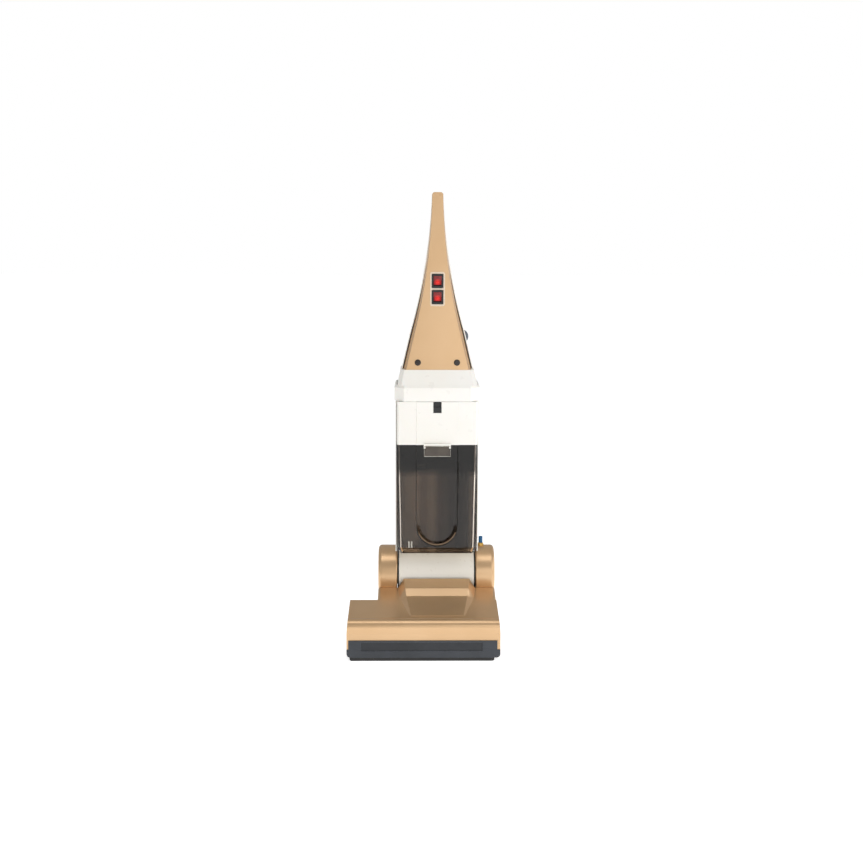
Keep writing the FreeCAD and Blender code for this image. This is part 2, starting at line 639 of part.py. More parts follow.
def neck_cover():
    outer = hump(0).common(box(-FAR, FAR, HOOD_BACK_Y + 0.4, 0, HOOD_BACK_Z - 4, FAR))
    inner = hump(HEAD_WALL).common(box(-FAR, FAR, HOOD_BACK_Y - 1, 0, 0, FAR))
    well = rod_x(BARREL_RADIUS + 2, -FAR, FAR, PIVOT_Y, PIVOT_Z)
    return outer.cut(inner).cut(well)


def right_pivot_cover():
    """Round cover over the pivot bracket, open on its inner side and cut to sit on the deck."""
    inner = BODY_OFFSET_X + COVER_INNER
    outer = CARRIAGE_RIGHT
    drum = rod_x(PIVOT_COVER_RADIUS, inner, outer, PIVOT_Y, PIVOT_Z)
    drum = fillet_where(drum, 9.0, lambda edge: edge.Closed and edge.CenterOfMass.x > outer - 1)
    drum = fillet_where(drum, 2.5, lambda edge: edge.Closed and edge.CenterOfMass.x < inner + 1)
    hollow = rod_x(PIVOT_COVER_RADIUS - HEAD_WALL - 6, inner - 1, outer - HEAD_WALL - 6, PIVOT_Y, PIVOT_Z)
    floor = deck_volume(0).fuse(box(-FAR, FAR, -FAR, FAR, 0, DECK_REAR_Z + 5))
    return drum.cut(hollow).cut(floor)


def pivot_pins():
    """Stub shafts that reach from the brackets into the barrel's end caps."""
    start = BODY_OFFSET_X + BARREL_HALF - 12
    pin = rod_x(PIVOT_PIN_RADIUS, start, BODY_OFFSET_X + BRACKET_MIDDLE + BRACKET_THICKNESS / 2 + 2,
                PIVOT_Y, PIVOT_Z)
    return both_sides(pin)


def nipple_place():
    return BODY_OFFSET_X + COVER_INNER + 14, PIVOT_Y


def hose_nipple():
    """Brass connector on the right pivot cover, with a domed foot."""
    x, y = nipple_place()
    z = PIVOT_Z + PIVOT_COVER_RADIUS
    foot = rod_z(NIPPLE_FOOT_RADIUS, z - 3, z + NIPPLE_FOOT_HEIGHT, x, y)
    foot = fillet_where(foot, 4.0, lambda edge: edge.Closed and edge.CenterOfMass.z > z + 2)
    stem = rod_z(NIPPLE_RADIUS, z - 12, z + NIPPLE_HEIGHT, x, y)
    bore = rod_z(NIPPLE_RADIUS - 1.4, z - 13, z + NIPPLE_HEIGHT + 1, x, y)
    return foot.fuse(stem).cut(bore)


def nipple_room():
    """Hole in the pivot cover for the connector's stem and foot."""
    x, y = nipple_place()
    return hose_nipple().fuse(rod_z(NIPPLE_RADIUS, 0, PIVOT_Z + PIVOT_COVER_RADIUS + 3, x, y))


def nipple_cap():
    x, y = nipple_place()
    low = PIVOT_Z + PIVOT_COVER_RADIUS + NIPPLE_FOOT_HEIGHT + MOVING_GAP
    top = PIVOT_Z + PIVOT_COVER_RADIUS + NIPPLE_HEIGHT + 5
    cap = rod_z(CAP_RADIUS, low, top, x, y)
    cap = fillet_where(cap, 1.5, lambda edge: edge.Closed and edge.CenterOfMass.z > top - 1)
    return cap.cut(rod_z(NIPPLE_RADIUS + RUNNING_GAP, low - 1, top - 4, x, y))


def release_pedal():
    """Foot pedal at the back, on its own pin between two chassis ears."""
    x = BODY_OFFSET_X - 40
    plate = rounded_bar(x - 26, x + 26, CARRIAGE_BACK_Y + 2, -HEAD_FRONT_Y, 62, 69, 3.0, "x")
    arm = box(x - 10, x + 10, CARRIAGE_BACK_Y - 22, CARRIAGE_BACK_Y + 6, PEDAL_Z, PEDAL_Z + 6)
    hub = rod_x(7.0, x - 10, x + 10, CARRIAGE_BACK_Y - 24, PEDAL_Z)
    return plate.fuse([arm, hub]).cut(rod_x(PEDAL_PIN + RUNNING_GAP, x - 11, x + 11,
                                            CARRIAGE_BACK_Y - 24, PEDAL_Z))


def pedal_bracket():
    """Pair of ears with the pedal's pin through them."""
    x = BODY_OFFSET_X - 40
    y = CARRIAGE_BACK_Y - 24
    foot = CHASSIS_Z + CHASSIS_PLATE
    ears = [box(x + side * 15 - 3, x + side * 15 + 3, y - 8, y + 8, foot, 70) for side in (-1, 1)]
    pin = rod_x(PEDAL_PIN, x - 18, x + 18, y, PEDAL_Z)
    return ears[0].fuse([ears[1], pin])


def pedal_window():
    x = BODY_OFFSET_X - 40
    return box(x - 14, x + 14, CARRIAGE_BACK_Y - 10, CARRIAGE_BACK_Y + 1, 40, 78)


# ---- upright body -------------------------------------------------------------------------------


def motor_barrel():
    """Tube across the pivot that houses the suction motor, with a saddle up to the rear housing."""
    left = BODY_OFFSET_X - BARREL_HALF
    right = BODY_OFFSET_X + BARREL_HALF
    tube = rod_x(BARREL_RADIUS, left, right, PIVOT_Y, PIVOT_Z)
    saddle = box(left, right, PIVOT_Y - 12, HOUSING_BACK_Y - 2, PIVOT_Z, TANK_BOTTOM_Z - 3)
    return tube.fuse(saddle).removeSplitter().cut(
        rod_x(BARREL_RADIUS - 3, left - 1, right + 1, PIVOT_Y, PIVOT_Z))


def barrel_end_caps():
    """Dark discs that close the barrel and carry the bushes for the pivot pins."""
    inner = BODY_OFFSET_X + BARREL_HALF
    disc = rod_x(BARREL_RADIUS - 1, inner, inner + END_CAP_LENGTH, PIVOT_Y, PIVOT_Z)
    plug = rod_x(BARREL_RADIUS - 3 - SEAT_GAP, inner - 6, inner, PIVOT_Y, PIVOT_Z)
    sleeve = rod_x(PIVOT_PIN_RADIUS + 5, inner - 16, inner, PIVOT_Y, PIVOT_Z)
    arm = box(inner, inner + END_CAP_LENGTH, PIVOT_Y - 30, HOUSING_BACK_Y - 4, PIVOT_Z,
              TANK_BOTTOM_Z - 3)
    bore = rod_x(PIVOT_PIN_RADIUS + RUNNING_GAP, inner - 20, inner + 20, PIVOT_Y, PIVOT_Z)
    return both_sides(disc.fuse([plug, sleeve, arm]).cut(bore))


def vacuum_motor():
    """Suction motor can with a hollow fan shroud at its right end."""
    x = BODY_OFFSET_X - 62
    can = rod_x(VACUUM_CAN_RADIUS, x, x + VACUUM_CAN_LENGTH, PIVOT_Y, PIVOT_Z)
    shroud = rod_x(SHROUD_RADIUS, x + VACUUM_CAN_LENGTH, x + 122, PIVOT_Y, PIVOT_Z)
    room = rod_x(SHROUD_RADIUS - 3, x + VACUUM_CAN_LENGTH + 3, x + 119, PIVOT_Y, PIVOT_Z)
    eye = rod_x(20.0, x + 118, x + 123, PIVOT_Y, PIVOT_Z)
    bore = rod_x(JOURNAL_RADIUS + RUNNING_GAP, x - 1, x + 84, PIVOT_Y, PIVOT_Z)
    return can.fuse(shroud).cut([room, eye, bore])


def vacuum_fan():
    """Two discs with blades between them, on the motor's shaft."""
    x = BODY_OFFSET_X - 62 + 86
    radius = 47.0
    discs = [rod_x(radius, x, x + 2, PIVOT_Y, PIVOT_Z), rod_x(radius, x + 26, x + 28, PIVOT_Y, PIVOT_Z)]
    shaft = rod_x(JOURNAL_RADIUS, x - 84, x + 28, PIVOT_Y, PIVOT_Z)
    blades = []
    for index in range(8):
        blade = box(x + 1, x + 27, PIVOT_Y + 4, PIVOT_Y + radius - 2, PIVOT_Z - 1, PIVOT_Z + 1)
        blade.rotate(Vector(x, PIVOT_Y, PIVOT_Z), Vector(1, 0, 0), 45.0 * index)
        blades.append(blade)
    eye = rod_x(18.0, x + 26, x + 29, PIVOT_Y, PIVOT_Z).cut(rod_x(8.0, x + 25, x + 30, PIVOT_Y, PIVOT_Z))
    return shaft.fuse(discs + blades).cut(eye)


def body_plan(width, front, back, chamfer, inset=0.0):
    half = width / 2 - inset
    middle = BODY_OFFSET_X
    y0 = front + inset
    y1 = back - inset
    return [(middle - half, y1 - chamfer), (middle - half, y0 + chamfer), (middle - half + chamfer, y0),
            (middle + half - chamfer, y0), (middle + half, y0 + chamfer), (middle + half, y1 - chamfer),
            (middle + half - chamfer, y1), (middle - half + chamfer, y1)]


def rear_shell():
    """Housing behind the tank with two rails that reach forward beside it."""
    low = TANK_BOTTOM_Z - 2.5
    high = BAND_BOTTOM_Z
    half = BODY_WIDTH / 2
    x0 = BODY_OFFSET_X - half
    x1 = BODY_OFFSET_X + half
    outer = rounded_bar(x0, x1, HOUSING_FRONT_Y, HOUSING_BACK_Y, low, high, 8.0, "z")
    outer = outer.fuse(box(x0, x1, HOUSING_FRONT_Y, HOUSING_FRONT_Y + 20, low, high))
    inner = box(x0 + SHELL_WALL, x1 - SHELL_WALL, HOUSING_FRONT_Y + SHELL_WALL,
                HOUSING_BACK_Y - SHELL_WALL, low + SHELL_WALL, high + 1)
    rail = box(x0, BODY_OFFSET_X - TANK_TOP_WIDTH / 2 - 1.2, HOUSING_FRONT_Y - RAIL_LENGTH,
               HOUSING_FRONT_Y + 1, low, high)
    rail = fillet_where(rail, 1.0, lambda edge: along(edge, "z")
                        and edge.CenterOfMass.y < HOUSING_FRONT_Y)
    shelf = box(BODY_OFFSET_X - BARREL_HALF, BODY_OFFSET_X + BARREL_HALF, HOUSING_FRONT_Y - RAIL_LENGTH,
                HOUSING_FRONT_Y + 1, low, TANK_BOTTOM_Z - 0.4)
    grille = []
    for index in range(7):
        z = low + 16 + 7 * index
        grille.append(box(BODY_OFFSET_X - 52, BODY_OFFSET_X + 52, HOUSING_BACK_Y - 5,
                          HOUSING_BACK_Y + 1, z, z + 3))
    cap_hole = rod_y(CAP_NECK + 1, HOUSING_BACK_Y - 6, HOUSING_BACK_Y + 1, BODY_OFFSET_X,
                     solution_cap_z())
    drum_room = rod_x(PIVOT_COVER_RADIUS + MOVING_GAP, BODY_OFFSET_X + COVER_INNER - MOVING_GAP, x1 + 1,
                      PIVOT_Y, PIVOT_Z)
    shell = outer.cut(inner).fuse([rail, mirrored(rail), shelf]).removeSplitter()
    return shell.cut(grille).cut([cap_hole, drum_room, mirrored(drum_room)])


def solution_cap_z():
    return BAND_BOTTOM_Z - CAP_DROP


def solution_tank():
    """Clean water tank inside the rear housing; its filler neck comes out through the back."""
    half = BODY_WIDTH / 2 - SHELL_WALL - 1.5
    y0 = HOUSING_FRONT_Y + SHELL_WALL + 1.5
    y1 = HOUSING_BACK_Y - SHELL_WALL - 1.5
    low = TANK_BOTTOM_Z + 92
    high = BAND_BOTTOM_Z - 8
    outer = rounded_bar(BODY_OFFSET_X - half, BODY_OFFSET_X + half, y0, y1, low, high, 8.0, "x")
    inner = box(BODY_OFFSET_X - half + 2.5, BODY_OFFSET_X + half - 2.5, y0 + 2.5, y1 - 2.5, low + 6,
                high - 6)
    neck = rod_y(CAP_NECK, y1 - 2, HOUSING_BACK_Y + 6, BODY_OFFSET_X, solution_cap_z())
    mouth = rod_y(CAP_NECK - 2.5, y1 - 8, HOUSING_BACK_Y + 7, BODY_OFFSET_X, solution_cap_z())
    return outer.fuse(neck).cut([inner, mouth])


def solution_cap():
    """Screw cap with a grip bar across its face."""
    y = HOUSING_BACK_Y + 1
    z = solution_cap_z()
    cap = rod_y(CAP_NECK + 4, y, y + 10, BODY_OFFSET_X, z)
    cap = fillet_where(cap, 1.5, lambda edge: edge.Closed and edge.CenterOfMass.y > y + 9)
    bar = rounded_bar(BODY_OFFSET_X - 17, BODY_OFFSET_X + 17, y + 9, y + 16, z - 3, z + 3, 2.0, "y")
    cavity = rod_y(CAP_NECK + MOVING_GAP, y - 1, y + 6, BODY_OFFSET_X, z)
    return cap.fuse(bar).cut(cavity)


def water_pump():
    """Small pump in the bottom of the rear housing."""
    x = BODY_OFFSET_X + 66
    y = (HOUSING_FRONT_Y + HOUSING_BACK_Y) / 2
    low = TANK_BOTTOM_Z + 0.1
    can = rod_z(19.0, low, low + 48, x, y)
    head = rounded_bar(x - 22, x + 22, y - 22, y + 22, low + 48, low + 66, 4.0, "z")
    port = rod_z(4.0, low + 66, low + 78, x - 10, y)
    return can.fuse([head, port])


def hollow_frustum(low_plan, low_z, high_plan, high_z, low_inner, high_inner):
    outer = frustum_z(low_plan, low_z, high_plan, high_z)
    inner = frustum_z(low_inner, low_z - 0.01, high_inner, high_z + 0.01)
    return outer.cut(inner)


def shoulder_band():
    chamfer_x = (BAND_WIDTH - BAND_FACE_WIDTH) / 2
    half = BAND_WIDTH / 2

    def plan(inset):
        face = half - chamfer_x - inset * 0.4
        side = half - inset
        front = BAND_FRONT_Y + inset
        back = HOUSING_BACK_Y - inset
        return [(BODY_OFFSET_X - side, back - 10), (BODY_OFFSET_X - side, front + BAND_CHAMFER_DEPTH),
                (BODY_OFFSET_X - face, front), (BODY_OFFSET_X + face, front),
                (BODY_OFFSET_X + side, front + BAND_CHAMFER_DEPTH), (BODY_OFFSET_X + side, back - 10),
                (BODY_OFFSET_X + side - 10, back), (BODY_OFFSET_X - side + 10, back)]

    bevel = 5.0
    low = prism_z(plan(0), BAND_BOTTOM_Z, BAND_TOP_EDGE_Z - bevel)
    top = frustum_z(plan(0), BAND_TOP_EDGE_Z - bevel, plan(3.0), BAND_TOP_EDGE_Z)
    hollow = prism_z(plan(6.0), BAND_BOTTOM_Z + SHELL_WALL, BAND_TOP_EDGE_Z + 1)
    return low.fuse(top).removeSplitter().cut(hollow)


def shoulder_cover():
    """Tapered cover between the band and the handle."""
    low = body_plan(SHOULDER_BOTTOM_WIDTH, BAND_FRONT_Y + 4, HOUSING_BACK_Y - 4, 10)
    high = body_plan(SHOULDER_TOP_WIDTH, SHOULDER_TOP_Y, HOUSING_BACK_Y - 9, 9)
    low_in = body_plan(SHOULDER_BOTTOM_WIDTH, BAND_FRONT_Y + 4, HOUSING_BACK_Y - 4, 10, 3.5)
    high_in = body_plan(SHOULDER_TOP_WIDTH, SHOULDER_TOP_Y, HOUSING_BACK_Y - 9, 9, 3.5)
    shell = hollow_frustum(low, BAND_TOP_EDGE_Z, high, SHOULDER_TOP_Z, low_in, high_in)
    roof_plan = body_plan(SHOULDER_TOP_WIDTH, SHOULDER_TOP_Y, HOUSING_BACK_Y - 9, 9, 1.5)
    roof = prism_z(roof_plan, SHOULDER_TOP_Z - SHELL_WALL, SHOULDER_TOP_Z)
    roof = roof.cut(rod_z(18.0, SHOULDER_TOP_Z - 10, SHOULDER_TOP_Z + 1, BODY_OFFSET_X, 25.0))
    return shell.fuse(roof).removeSplitter()


# ---- recovery tank ------------------------------------------------------------------------------


def tank_plan(width, front, back, inset=0.0):
    return body_plan(width, front, back, 4.0, inset)


def tank_recess(grow):
    """Hand recess in the tank's front: straight sides, round foot and a sloping sill."""
    half = PANEL_WIDTH / 2 + grow
    foot = TANK_BOTTOM_Z + TANK_BEVEL + half - grow + 2
    front = TANK_FRONT_Y - 2
    back = TANK_FRONT_Y + RECESS_DEPTH + grow
    slab = box(BODY_OFFSET_X - half, BODY_OFFSET_X + half, front, back, foot, TANK_TOP_Z + 2)
    wide = Part.makeCone(half + 2, half - RECESS_DEPTH * 0.8, back - front,
                         Vector(BODY_OFFSET_X, front, foot), Vector(0, 1, 0))
    lower = wide.common(box(-FAR, FAR, front, back, 0, foot))
    side_cut = box(BODY_OFFSET_X - half, BODY_OFFSET_X + half, front, back, 0, foot)
    return slab.fuse(lower.common(side_cut))


def recovery_tank():
    """Smoked bucket, open at the top."""
    half_bevel = 5.0
    waist = TANK_BOTTOM_Z + TANK_BEVEL

    def form(inset):
        foot = tank_plan(TANK_BOTTOM_WIDTH - 2 * half_bevel, TANK_FRONT_Y + half_bevel + 3,
                         TANK_BACK_Y - half_bevel, inset)
        middle = tank_plan(TANK_BOTTOM_WIDTH, TANK_FRONT_Y + 2, TANK_BACK_Y - 2, inset)
        top = tank_plan(TANK_TOP_WIDTH, TANK_FRONT_Y, TANK_BACK_Y, inset)
        low = frustum_z(foot, TANK_BOTTOM_Z + inset, middle, waist)
        return low.fuse(frustum_z(middle, waist, top, TANK_TOP_Z)).removeSplitter()

    outer = form(0).cut(tank_recess(0))
    top_cut = prism_z(tank_plan(TANK_TOP_WIDTH, TANK_FRONT_Y, TANK_BACK_Y, TANK_WALL), TANK_TOP_Z - 3,
                      TANK_TOP_Z + 1)
    inner = form(TANK_WALL).fuse(top_cut).cut(tank_recess(TANK_WALL))
    bucket = outer.cut(inner)
    ribs = [box(BODY_OFFSET_X + x, BODY_OFFSET_X + x + 2, TANK_BACK_Y - 12, TANK_BACK_Y - 2.5,
                waist, TANK_TOP_Z - 20) for x in (-60.0, 58.0)]
    return bucket.fuse(ribs).removeSplitter()


def inlet_standpipe():
    """Pipe in the tank that brings the dirty water up."""
    x = BODY_OFFSET_X + 62
    low = TANK_BOTTOM_Z + TANK_WALL + 0.05
    pipe = rod_z(INLET_RADIUS, low, TANK_TOP_Z - 34, x, 0.0)
    return pipe.cut(rod_z(INLET_RADIUS - 2.5, low - 1, TANK_TOP_Z, x, 0.0))


def tank_gasket():
    outer = tank_plan(TANK_TOP_WIDTH, TANK_FRONT_Y, TANK_BACK_Y, 0.4)
    inner = tank_plan(TANK_TOP_WIDTH, TANK_FRONT_Y, TANK_BACK_Y, TANK_WALL)
    ring = prism_z(outer, TANK_TOP_Z, LID_BOTTOM_Z).cut(
        prism_z(inner, TANK_TOP_Z - 1, LID_BOTTOM_Z + 1))
    notch = box(BODY_OFFSET_X - PANEL_WIDTH / 2, BODY_OFFSET_X + PANEL_WIDTH / 2, TANK_FRONT_Y - 1,
                TANK_FRONT_Y + RECESS_DEPTH, TANK_TOP_Z - 1, LID_BOTTOM_Z + 1)
    bridge = box(BODY_OFFSET_X - PANEL_WIDTH / 2 - 2, BODY_OFFSET_X + PANEL_WIDTH / 2 + 2,
                 TANK_FRONT_Y + RECESS_DEPTH, TANK_FRONT_Y + RECESS_DEPTH + TANK_WALL,
                 TANK_TOP_Z, LID_BOTTOM_Z)
    leg = box(BODY_OFFSET_X - PANEL_WIDTH / 2 - 3, BODY_OFFSET_X - PANEL_WIDTH / 2 - 0.2,
              TANK_FRONT_Y + 0.6, TANK_FRONT_Y + RECESS_DEPTH + TANK_WALL, TANK_TOP_Z, LID_BOTTOM_Z)
    return ring.cut(notch).fuse([bridge, leg, mirrored(leg)]).removeSplitter()


def clip_axis():
    """Y and Z of the pin that the lid clip swings on."""
    return LID_FRONT_Y - PANEL_PROUD - 2.2, LID_BOTTOM_Z - 5.0


def tank_lid():
    """White lid with a raised front panel, the latch pocket and a hinge ledge for the clip."""
    outer = prism_z(tank_plan(TANK_TOP_WIDTH - 0.4, LID_FRONT_Y, TANK_BACK_Y), LID_BOTTOM_Z, LID_TOP_Z)
    inner = prism_z(tank_plan(TANK_TOP_WIDTH - 0.4, TANK_FRONT_Y, TANK_BACK_Y, TANK_WALL),
                    LID_BOTTOM_Z - 1, LID_TOP_Z - SHELL_WALL)
    floor = prism_z(tank_plan(TANK_TOP_WIDTH - 0.4, TANK_FRONT_Y, TANK_BACK_Y, 1.0),
                    LID_BOTTOM_Z, LID_BOTTOM_Z + SHELL_WALL)
    floor = floor.cut(rod_z(CAGE_RADIUS + 1, 0, 2 * LID_TOP_Z, FLOAT_X, 0.0))
    panel = box(BODY_OFFSET_X - PANEL_WIDTH / 2, BODY_OFFSET_X + PANEL_WIDTH / 2,
                LID_FRONT_Y - PANEL_PROUD, LID_FRONT_Y + 1, LID_BOTTOM_Z, LID_TOP_Z)
    panel = fillet_where(panel, 1.2, lambda edge: along(edge, "z")
                         and edge.CenterOfMass.y < LID_FRONT_Y)
    pocket = latch_room(0)
    pocket_wall = latch_room(2.0).common(outer.fuse(panel))
    y, z = clip_axis()
    ledge = box(BODY_OFFSET_X - CLIP_WIDTH / 2, BODY_OFFSET_X + CLIP_WIDTH / 2, y - 3.2,
                LID_FRONT_Y + 2, LID_BOTTOM_Z - 1.2, LID_BOTTOM_Z + 3)
    ear_places = [BODY_OFFSET_X + side * (CLIP_WIDTH / 2 - 2) for side in (-1, 1)]
    ears = [box(x - 2, x + 2, y - 3.2, LID_FRONT_Y + 2, z - 3.2, LID_BOTTOM_Z - 1) for x in ear_places]
    pin = rod_x(CLIP_PIN_RADIUS, BODY_OFFSET_X - CLIP_WIDTH / 2, BODY_OFFSET_X + CLIP_WIDTH / 2, y, z)
    duct = rod_y(DUCT_RADIUS, TANK_BACK_Y - 6, TANK_BACK_Y + 1, BODY_OFFSET_X + 30, LID_TOP_Z - 40)
    shell = outer.cut(inner).fuse([floor, panel, pocket_wall, ledge] + ears + [pin])
    return shell.cut([pocket, duct]).removeSplitter()


def latch_room(grow):
    return box(BODY_OFFSET_X - LATCH_WIDTH / 2 - grow, BODY_OFFSET_X + LATCH_WIDTH / 2 + grow,
               LID_FRONT_Y - PANEL_PROUD - 1, LID_FRONT_Y + LATCH_DEPTH + grow,
               LID_TOP_Z - LATCH_HEIGHT - grow, LID_TOP_Z + 1)


def latch_button():
    """Push button in the lid's pocket; its upper part is stepped back."""
    gap = MOVING_GAP
    x0 = BODY_OFFSET_X - LATCH_WIDTH / 2 + gap
    x1 = BODY_OFFSET_X + LATCH_WIDTH / 2 - gap
    low = LID_TOP_Z - LATCH_HEIGHT + gap
    middle = low + LATCH_HEIGHT * 0.5
    back = LID_FRONT_Y + LATCH_DEPTH - 4.5
    front = box(x0, x1, LID_FRONT_Y - PANEL_PROUD + 0.3, back, low, middle)
    front = fillet_where(front, 1.0, lambda edge: along(edge, "x")
                         and edge.CenterOfMass.y < LID_FRONT_Y)
    return front.fuse(box(x0, x1, LID_FRONT_Y + 2.0, back, middle, LID_TOP_Z - 1.5)).removeSplitter()


def lid_clip():
    """Clear clip that hangs from the lid's pin over the tank's recess."""
    y, z = clip_axis()
    half = CLIP_WIDTH / 2 - 4.6
    hub = rod_x(CLIP_PIN_RADIUS + 1.5, BODY_OFFSET_X - half, BODY_OFFSET_X + half, y, z)
    plate = box(BODY_OFFSET_X - half, BODY_OFFSET_X + half, y - 2.6, y - 2.6 + CLIP_THICKNESS,
                z - CLIP_HEIGHT + 5, z)
    foot = rounded_bar(BODY_OFFSET_X - CLIP_WIDTH / 2, BODY_OFFSET_X + CLIP_WIDTH / 2, y - 2.6,
                       y - 2.6 + CLIP_THICKNESS, z - CLIP_HEIGHT + 5, z - 5.4, 1.5, "y")
    bore = rod_x(CLIP_PIN_RADIUS + RUNNING_GAP, BODY_OFFSET_X - half - 1, BODY_OFFSET_X + half + 1, y, z)
    return hub.fuse([plate, foot]).removeSplitter().cut(bore)


def float_cage():
    """Ring and four posts below the lid that guide the float."""
    top = LID_BOTTOM_Z
    flange = rod_z(26.0, top + SHELL_WALL, top + SHELL_WALL + 2, FLOAT_X, 0.0)
    posts = [rod_z(2.0, top - 62, top + SHELL_WALL + 1, FLOAT_X + 20.0 * math.cos(math.radians(a)),
                   20.0 * math.sin(math.radians(a))) for a in (45, 135, 225, 315)]
    base = rod_z(CAGE_RADIUS, top - 64, top - 61, FLOAT_X, 0.0)
    drain = rod_z(8.0, top - 65, top - 60, FLOAT_X, 0.0)
    opening = rod_z(12.0, top, top + SHELL_WALL + 3, FLOAT_X, 0.0)
    return flange.fuse(posts + [base]).cut([drain, opening])


def tank_float():
    low = LID_BOTTOM_Z - 61 + MOVING_GAP
    body = rod_z(FLOAT_RADIUS, low, low + 32, FLOAT_X, 0.0)
    return fillet_where(body, 4.0, lambda edge: edge.Closed)


# ---- handle -------------------------------------------------------------------------------------
# The handle is built upright on the shoulder's top and then leaned back about its lower front edge.


def handle_outline(inset, y, low=0.0, tip_inset=None):
    """Flared outline of the handle: straight flanks, a curve up to the tip, rounded top corners."""
    tip_inset = inset if tip_inset is None else tip_inset
    middle_inset = (inset + tip_inset) / 2
    z0 = SHOULDER_TOP_Z + low
    base = HANDLE_BASE_WIDTH / 2 - inset
    knee = (HANDLE_KNEE[0] - inset, SHOULDER_TOP_Z + HANDLE_KNEE[1])
    middle = (HANDLE_MIDDLE[0] - middle_inset, SHOULDER_TOP_Z + HANDLE_MIDDLE[1])
    tip = (HANDLE_TIP[0] - tip_inset, SHOULDER_TOP_Z + HANDLE_TIP[1] - tip_inset)
    top = SHOULDER_TOP_Z + HANDLE_LENGTH - tip_inset
    corner = min(HANDLE_TOP_RADIUS, tip[0] - 1.0)
    if low:
        slope = (HANDLE_BASE_WIDTH / 2 - HANDLE_KNEE[0]) / HANDLE_KNEE[1]
        base -= slope * low

    def point(side, half, z):
        return Vector(BODY_OFFSET_X + side * half, y, z)

    def corner_arc(side):
        start = point(side, tip[0], tip[1])
        end = point(side, tip[0] - corner, top)
        bend = point(side, tip[0] - corner * 0.25, tip[1] + (top - tip[1]) * 0.72)
        return start, bend, end

    right = corner_arc(1)
    left = corner_arc(-1)
    edges = [
        Part.makeLine(point(-1, base, z0), point(1, base, z0)),
        Part.makeLine(point(1, base, z0), point(1, *knee)),
        Part.Arc(point(1, *knee), point(1, *middle), right[0]).toShape(),
        Part.Arc(*right).toShape(),
        Part.makeLine(right[2], left[2]),
        Part.Arc(left[2], left[1], left[0]).toShape(),
        Part.Arc(left[0], point(-1, *middle), point(-1, *knee)).toShape(),
        Part.makeLine(point(-1, *knee), point(-1, base, z0)),
    ]
    return Part.Wire(edges)


def between_outlines(front, back):
    return Part.makeLoft([front, back], True, True)


def lean(shape):
    leaned = shape.copy()
    leaned.rotate(Vector(0, HANDLE_FRONT_Y, SHOULDER_TOP_Z), Vector(-1, 0, 0), HANDLE_LEAN)
    return leaned


def lean_foot():
    """Everything above the shoulder's top, so that the leaned handle ends flush on it."""
    return box(-FAR, FAR, -FAR, FAR, SHOULDER_TOP_Z, SHOULDER_TOP_Z + 2 * HANDLE_LENGTH)


def switch_heights():
    middle = SHOULDER_TOP_Z + SWITCH_RISE
    return [middle - SWITCH_PITCH / 2, middle + SWITCH_PITCH / 2]


def handle_cover():
    """Flat front cover with sides that open towards the back."""
    y0 = HANDLE_FRONT_Y
    y1 = y0 + COVER_DEPTH
    outer = between_outlines(handle_outline(COVER_FACE_INSET, y0, tip_inset=0.4),
                             handle_outline(COVER_BACK_INSET, y1, tip_inset=0.2))
    wall = SHELL_WALL
    inner = between_outlines(
        handle_outline(COVER_FACE_INSET + wall, y0 + wall, low=wall, tip_inset=0.4 + wall),
        handle_outline(COVER_BACK_INSET + wall, y1 + 0.01, low=wall, tip_inset=0.2 + wall))
    shell = outer.cut(inner)
    cuts = [box(BODY_OFFSET_X - ROCKER_WIDTH / 2 - 4, BODY_OFFSET_X + ROCKER_WIDTH / 2 + 4,
                y0 - 1, y1, z - ROCKER_HEIGHT / 2 - 4, z + ROCKER_HEIGHT / 2 + 4)
            for z in switch_heights()]
    for side in (-1, 1):
        cuts.append(rod_y(2.2, y0 - 1, y1, BODY_OFFSET_X + side * CAP_SCREW_SPACING / 2,
                          SHOULDER_TOP_Z + CAP_SCREW_RISE))
    return lean(shell.cut(cuts)).common(lean_foot())


def handle_back():
    """Rear shell of the handle, deep at the shoulder and slim at the top, with two screw posts."""
    y0 = HANDLE_FRONT_Y + COVER_DEPTH + SEAT_GAP
    y1 = HANDLE_FRONT_Y + HANDLE_BACK_BASE_DEPTH
    top_z = SHOULDER_TOP_Z + HANDLE_LENGTH + 10
    low_z = SHOULDER_TOP_Z - 20
    knee_z = SHOULDER_TOP_Z + LOOP_LOW - 20
    top_y = HANDLE_FRONT_Y + COVER_DEPTH + HANDLE_BACK_TOP_DEPTH

    def volume(inset):
        outline = between_outlines(handle_outline(inset, y0 - (0.01 if inset else 0), low=inset),
                                   handle_outline(inset + 7.0, y1, low=inset, tip_inset=inset + 3.0))
        side = prism_x([(y0 - 5, low_z), (y1 - inset, low_z), (y1 - inset, SHOULDER_TOP_Z + 50),
                        (top_y + 6 - inset, knee_z), (top_y - inset, top_z), (y0 - 5, top_z)],
                       -300, 300)
        return outline.common(side)

    shell = volume(0).cut(volume(SHELL_WALL))
    posts = []
    for side in (-1, 1):
        x = BODY_OFFSET_X + side * CAP_SCREW_SPACING / 2
        post = rod_y(5.0, HANDLE_FRONT_Y + SHELL_WALL + SEAT_GAP, y1 - 1, x,
                     SHOULDER_TOP_Z + CAP_SCREW_RISE)
        posts.append(post.cut(rod_y(2.2, HANDLE_FRONT_Y, HANDLE_FRONT_Y + 24, x,
                                    SHOULDER_TOP_Z + CAP_SCREW_RISE)))
    shell = shell.fuse(posts)
    gland = rod_y(GLAND_RADIUS, y0, y1 + 1, BODY_OFFSET_X - GLAND_OFFSET, SHOULDER_TOP_Z + GLAND_RISE)
    hook_pin = rod_y(HOOK_PIN + RUNNING_GAP, y1 - 20, y1 + 1, BODY_OFFSET_X, hook_z())
    return lean(shell.cut([gland, hook_pin])).common(lean_foot())


def hook_z():
    return SHOULDER_TOP_Z + HOOK_RISE


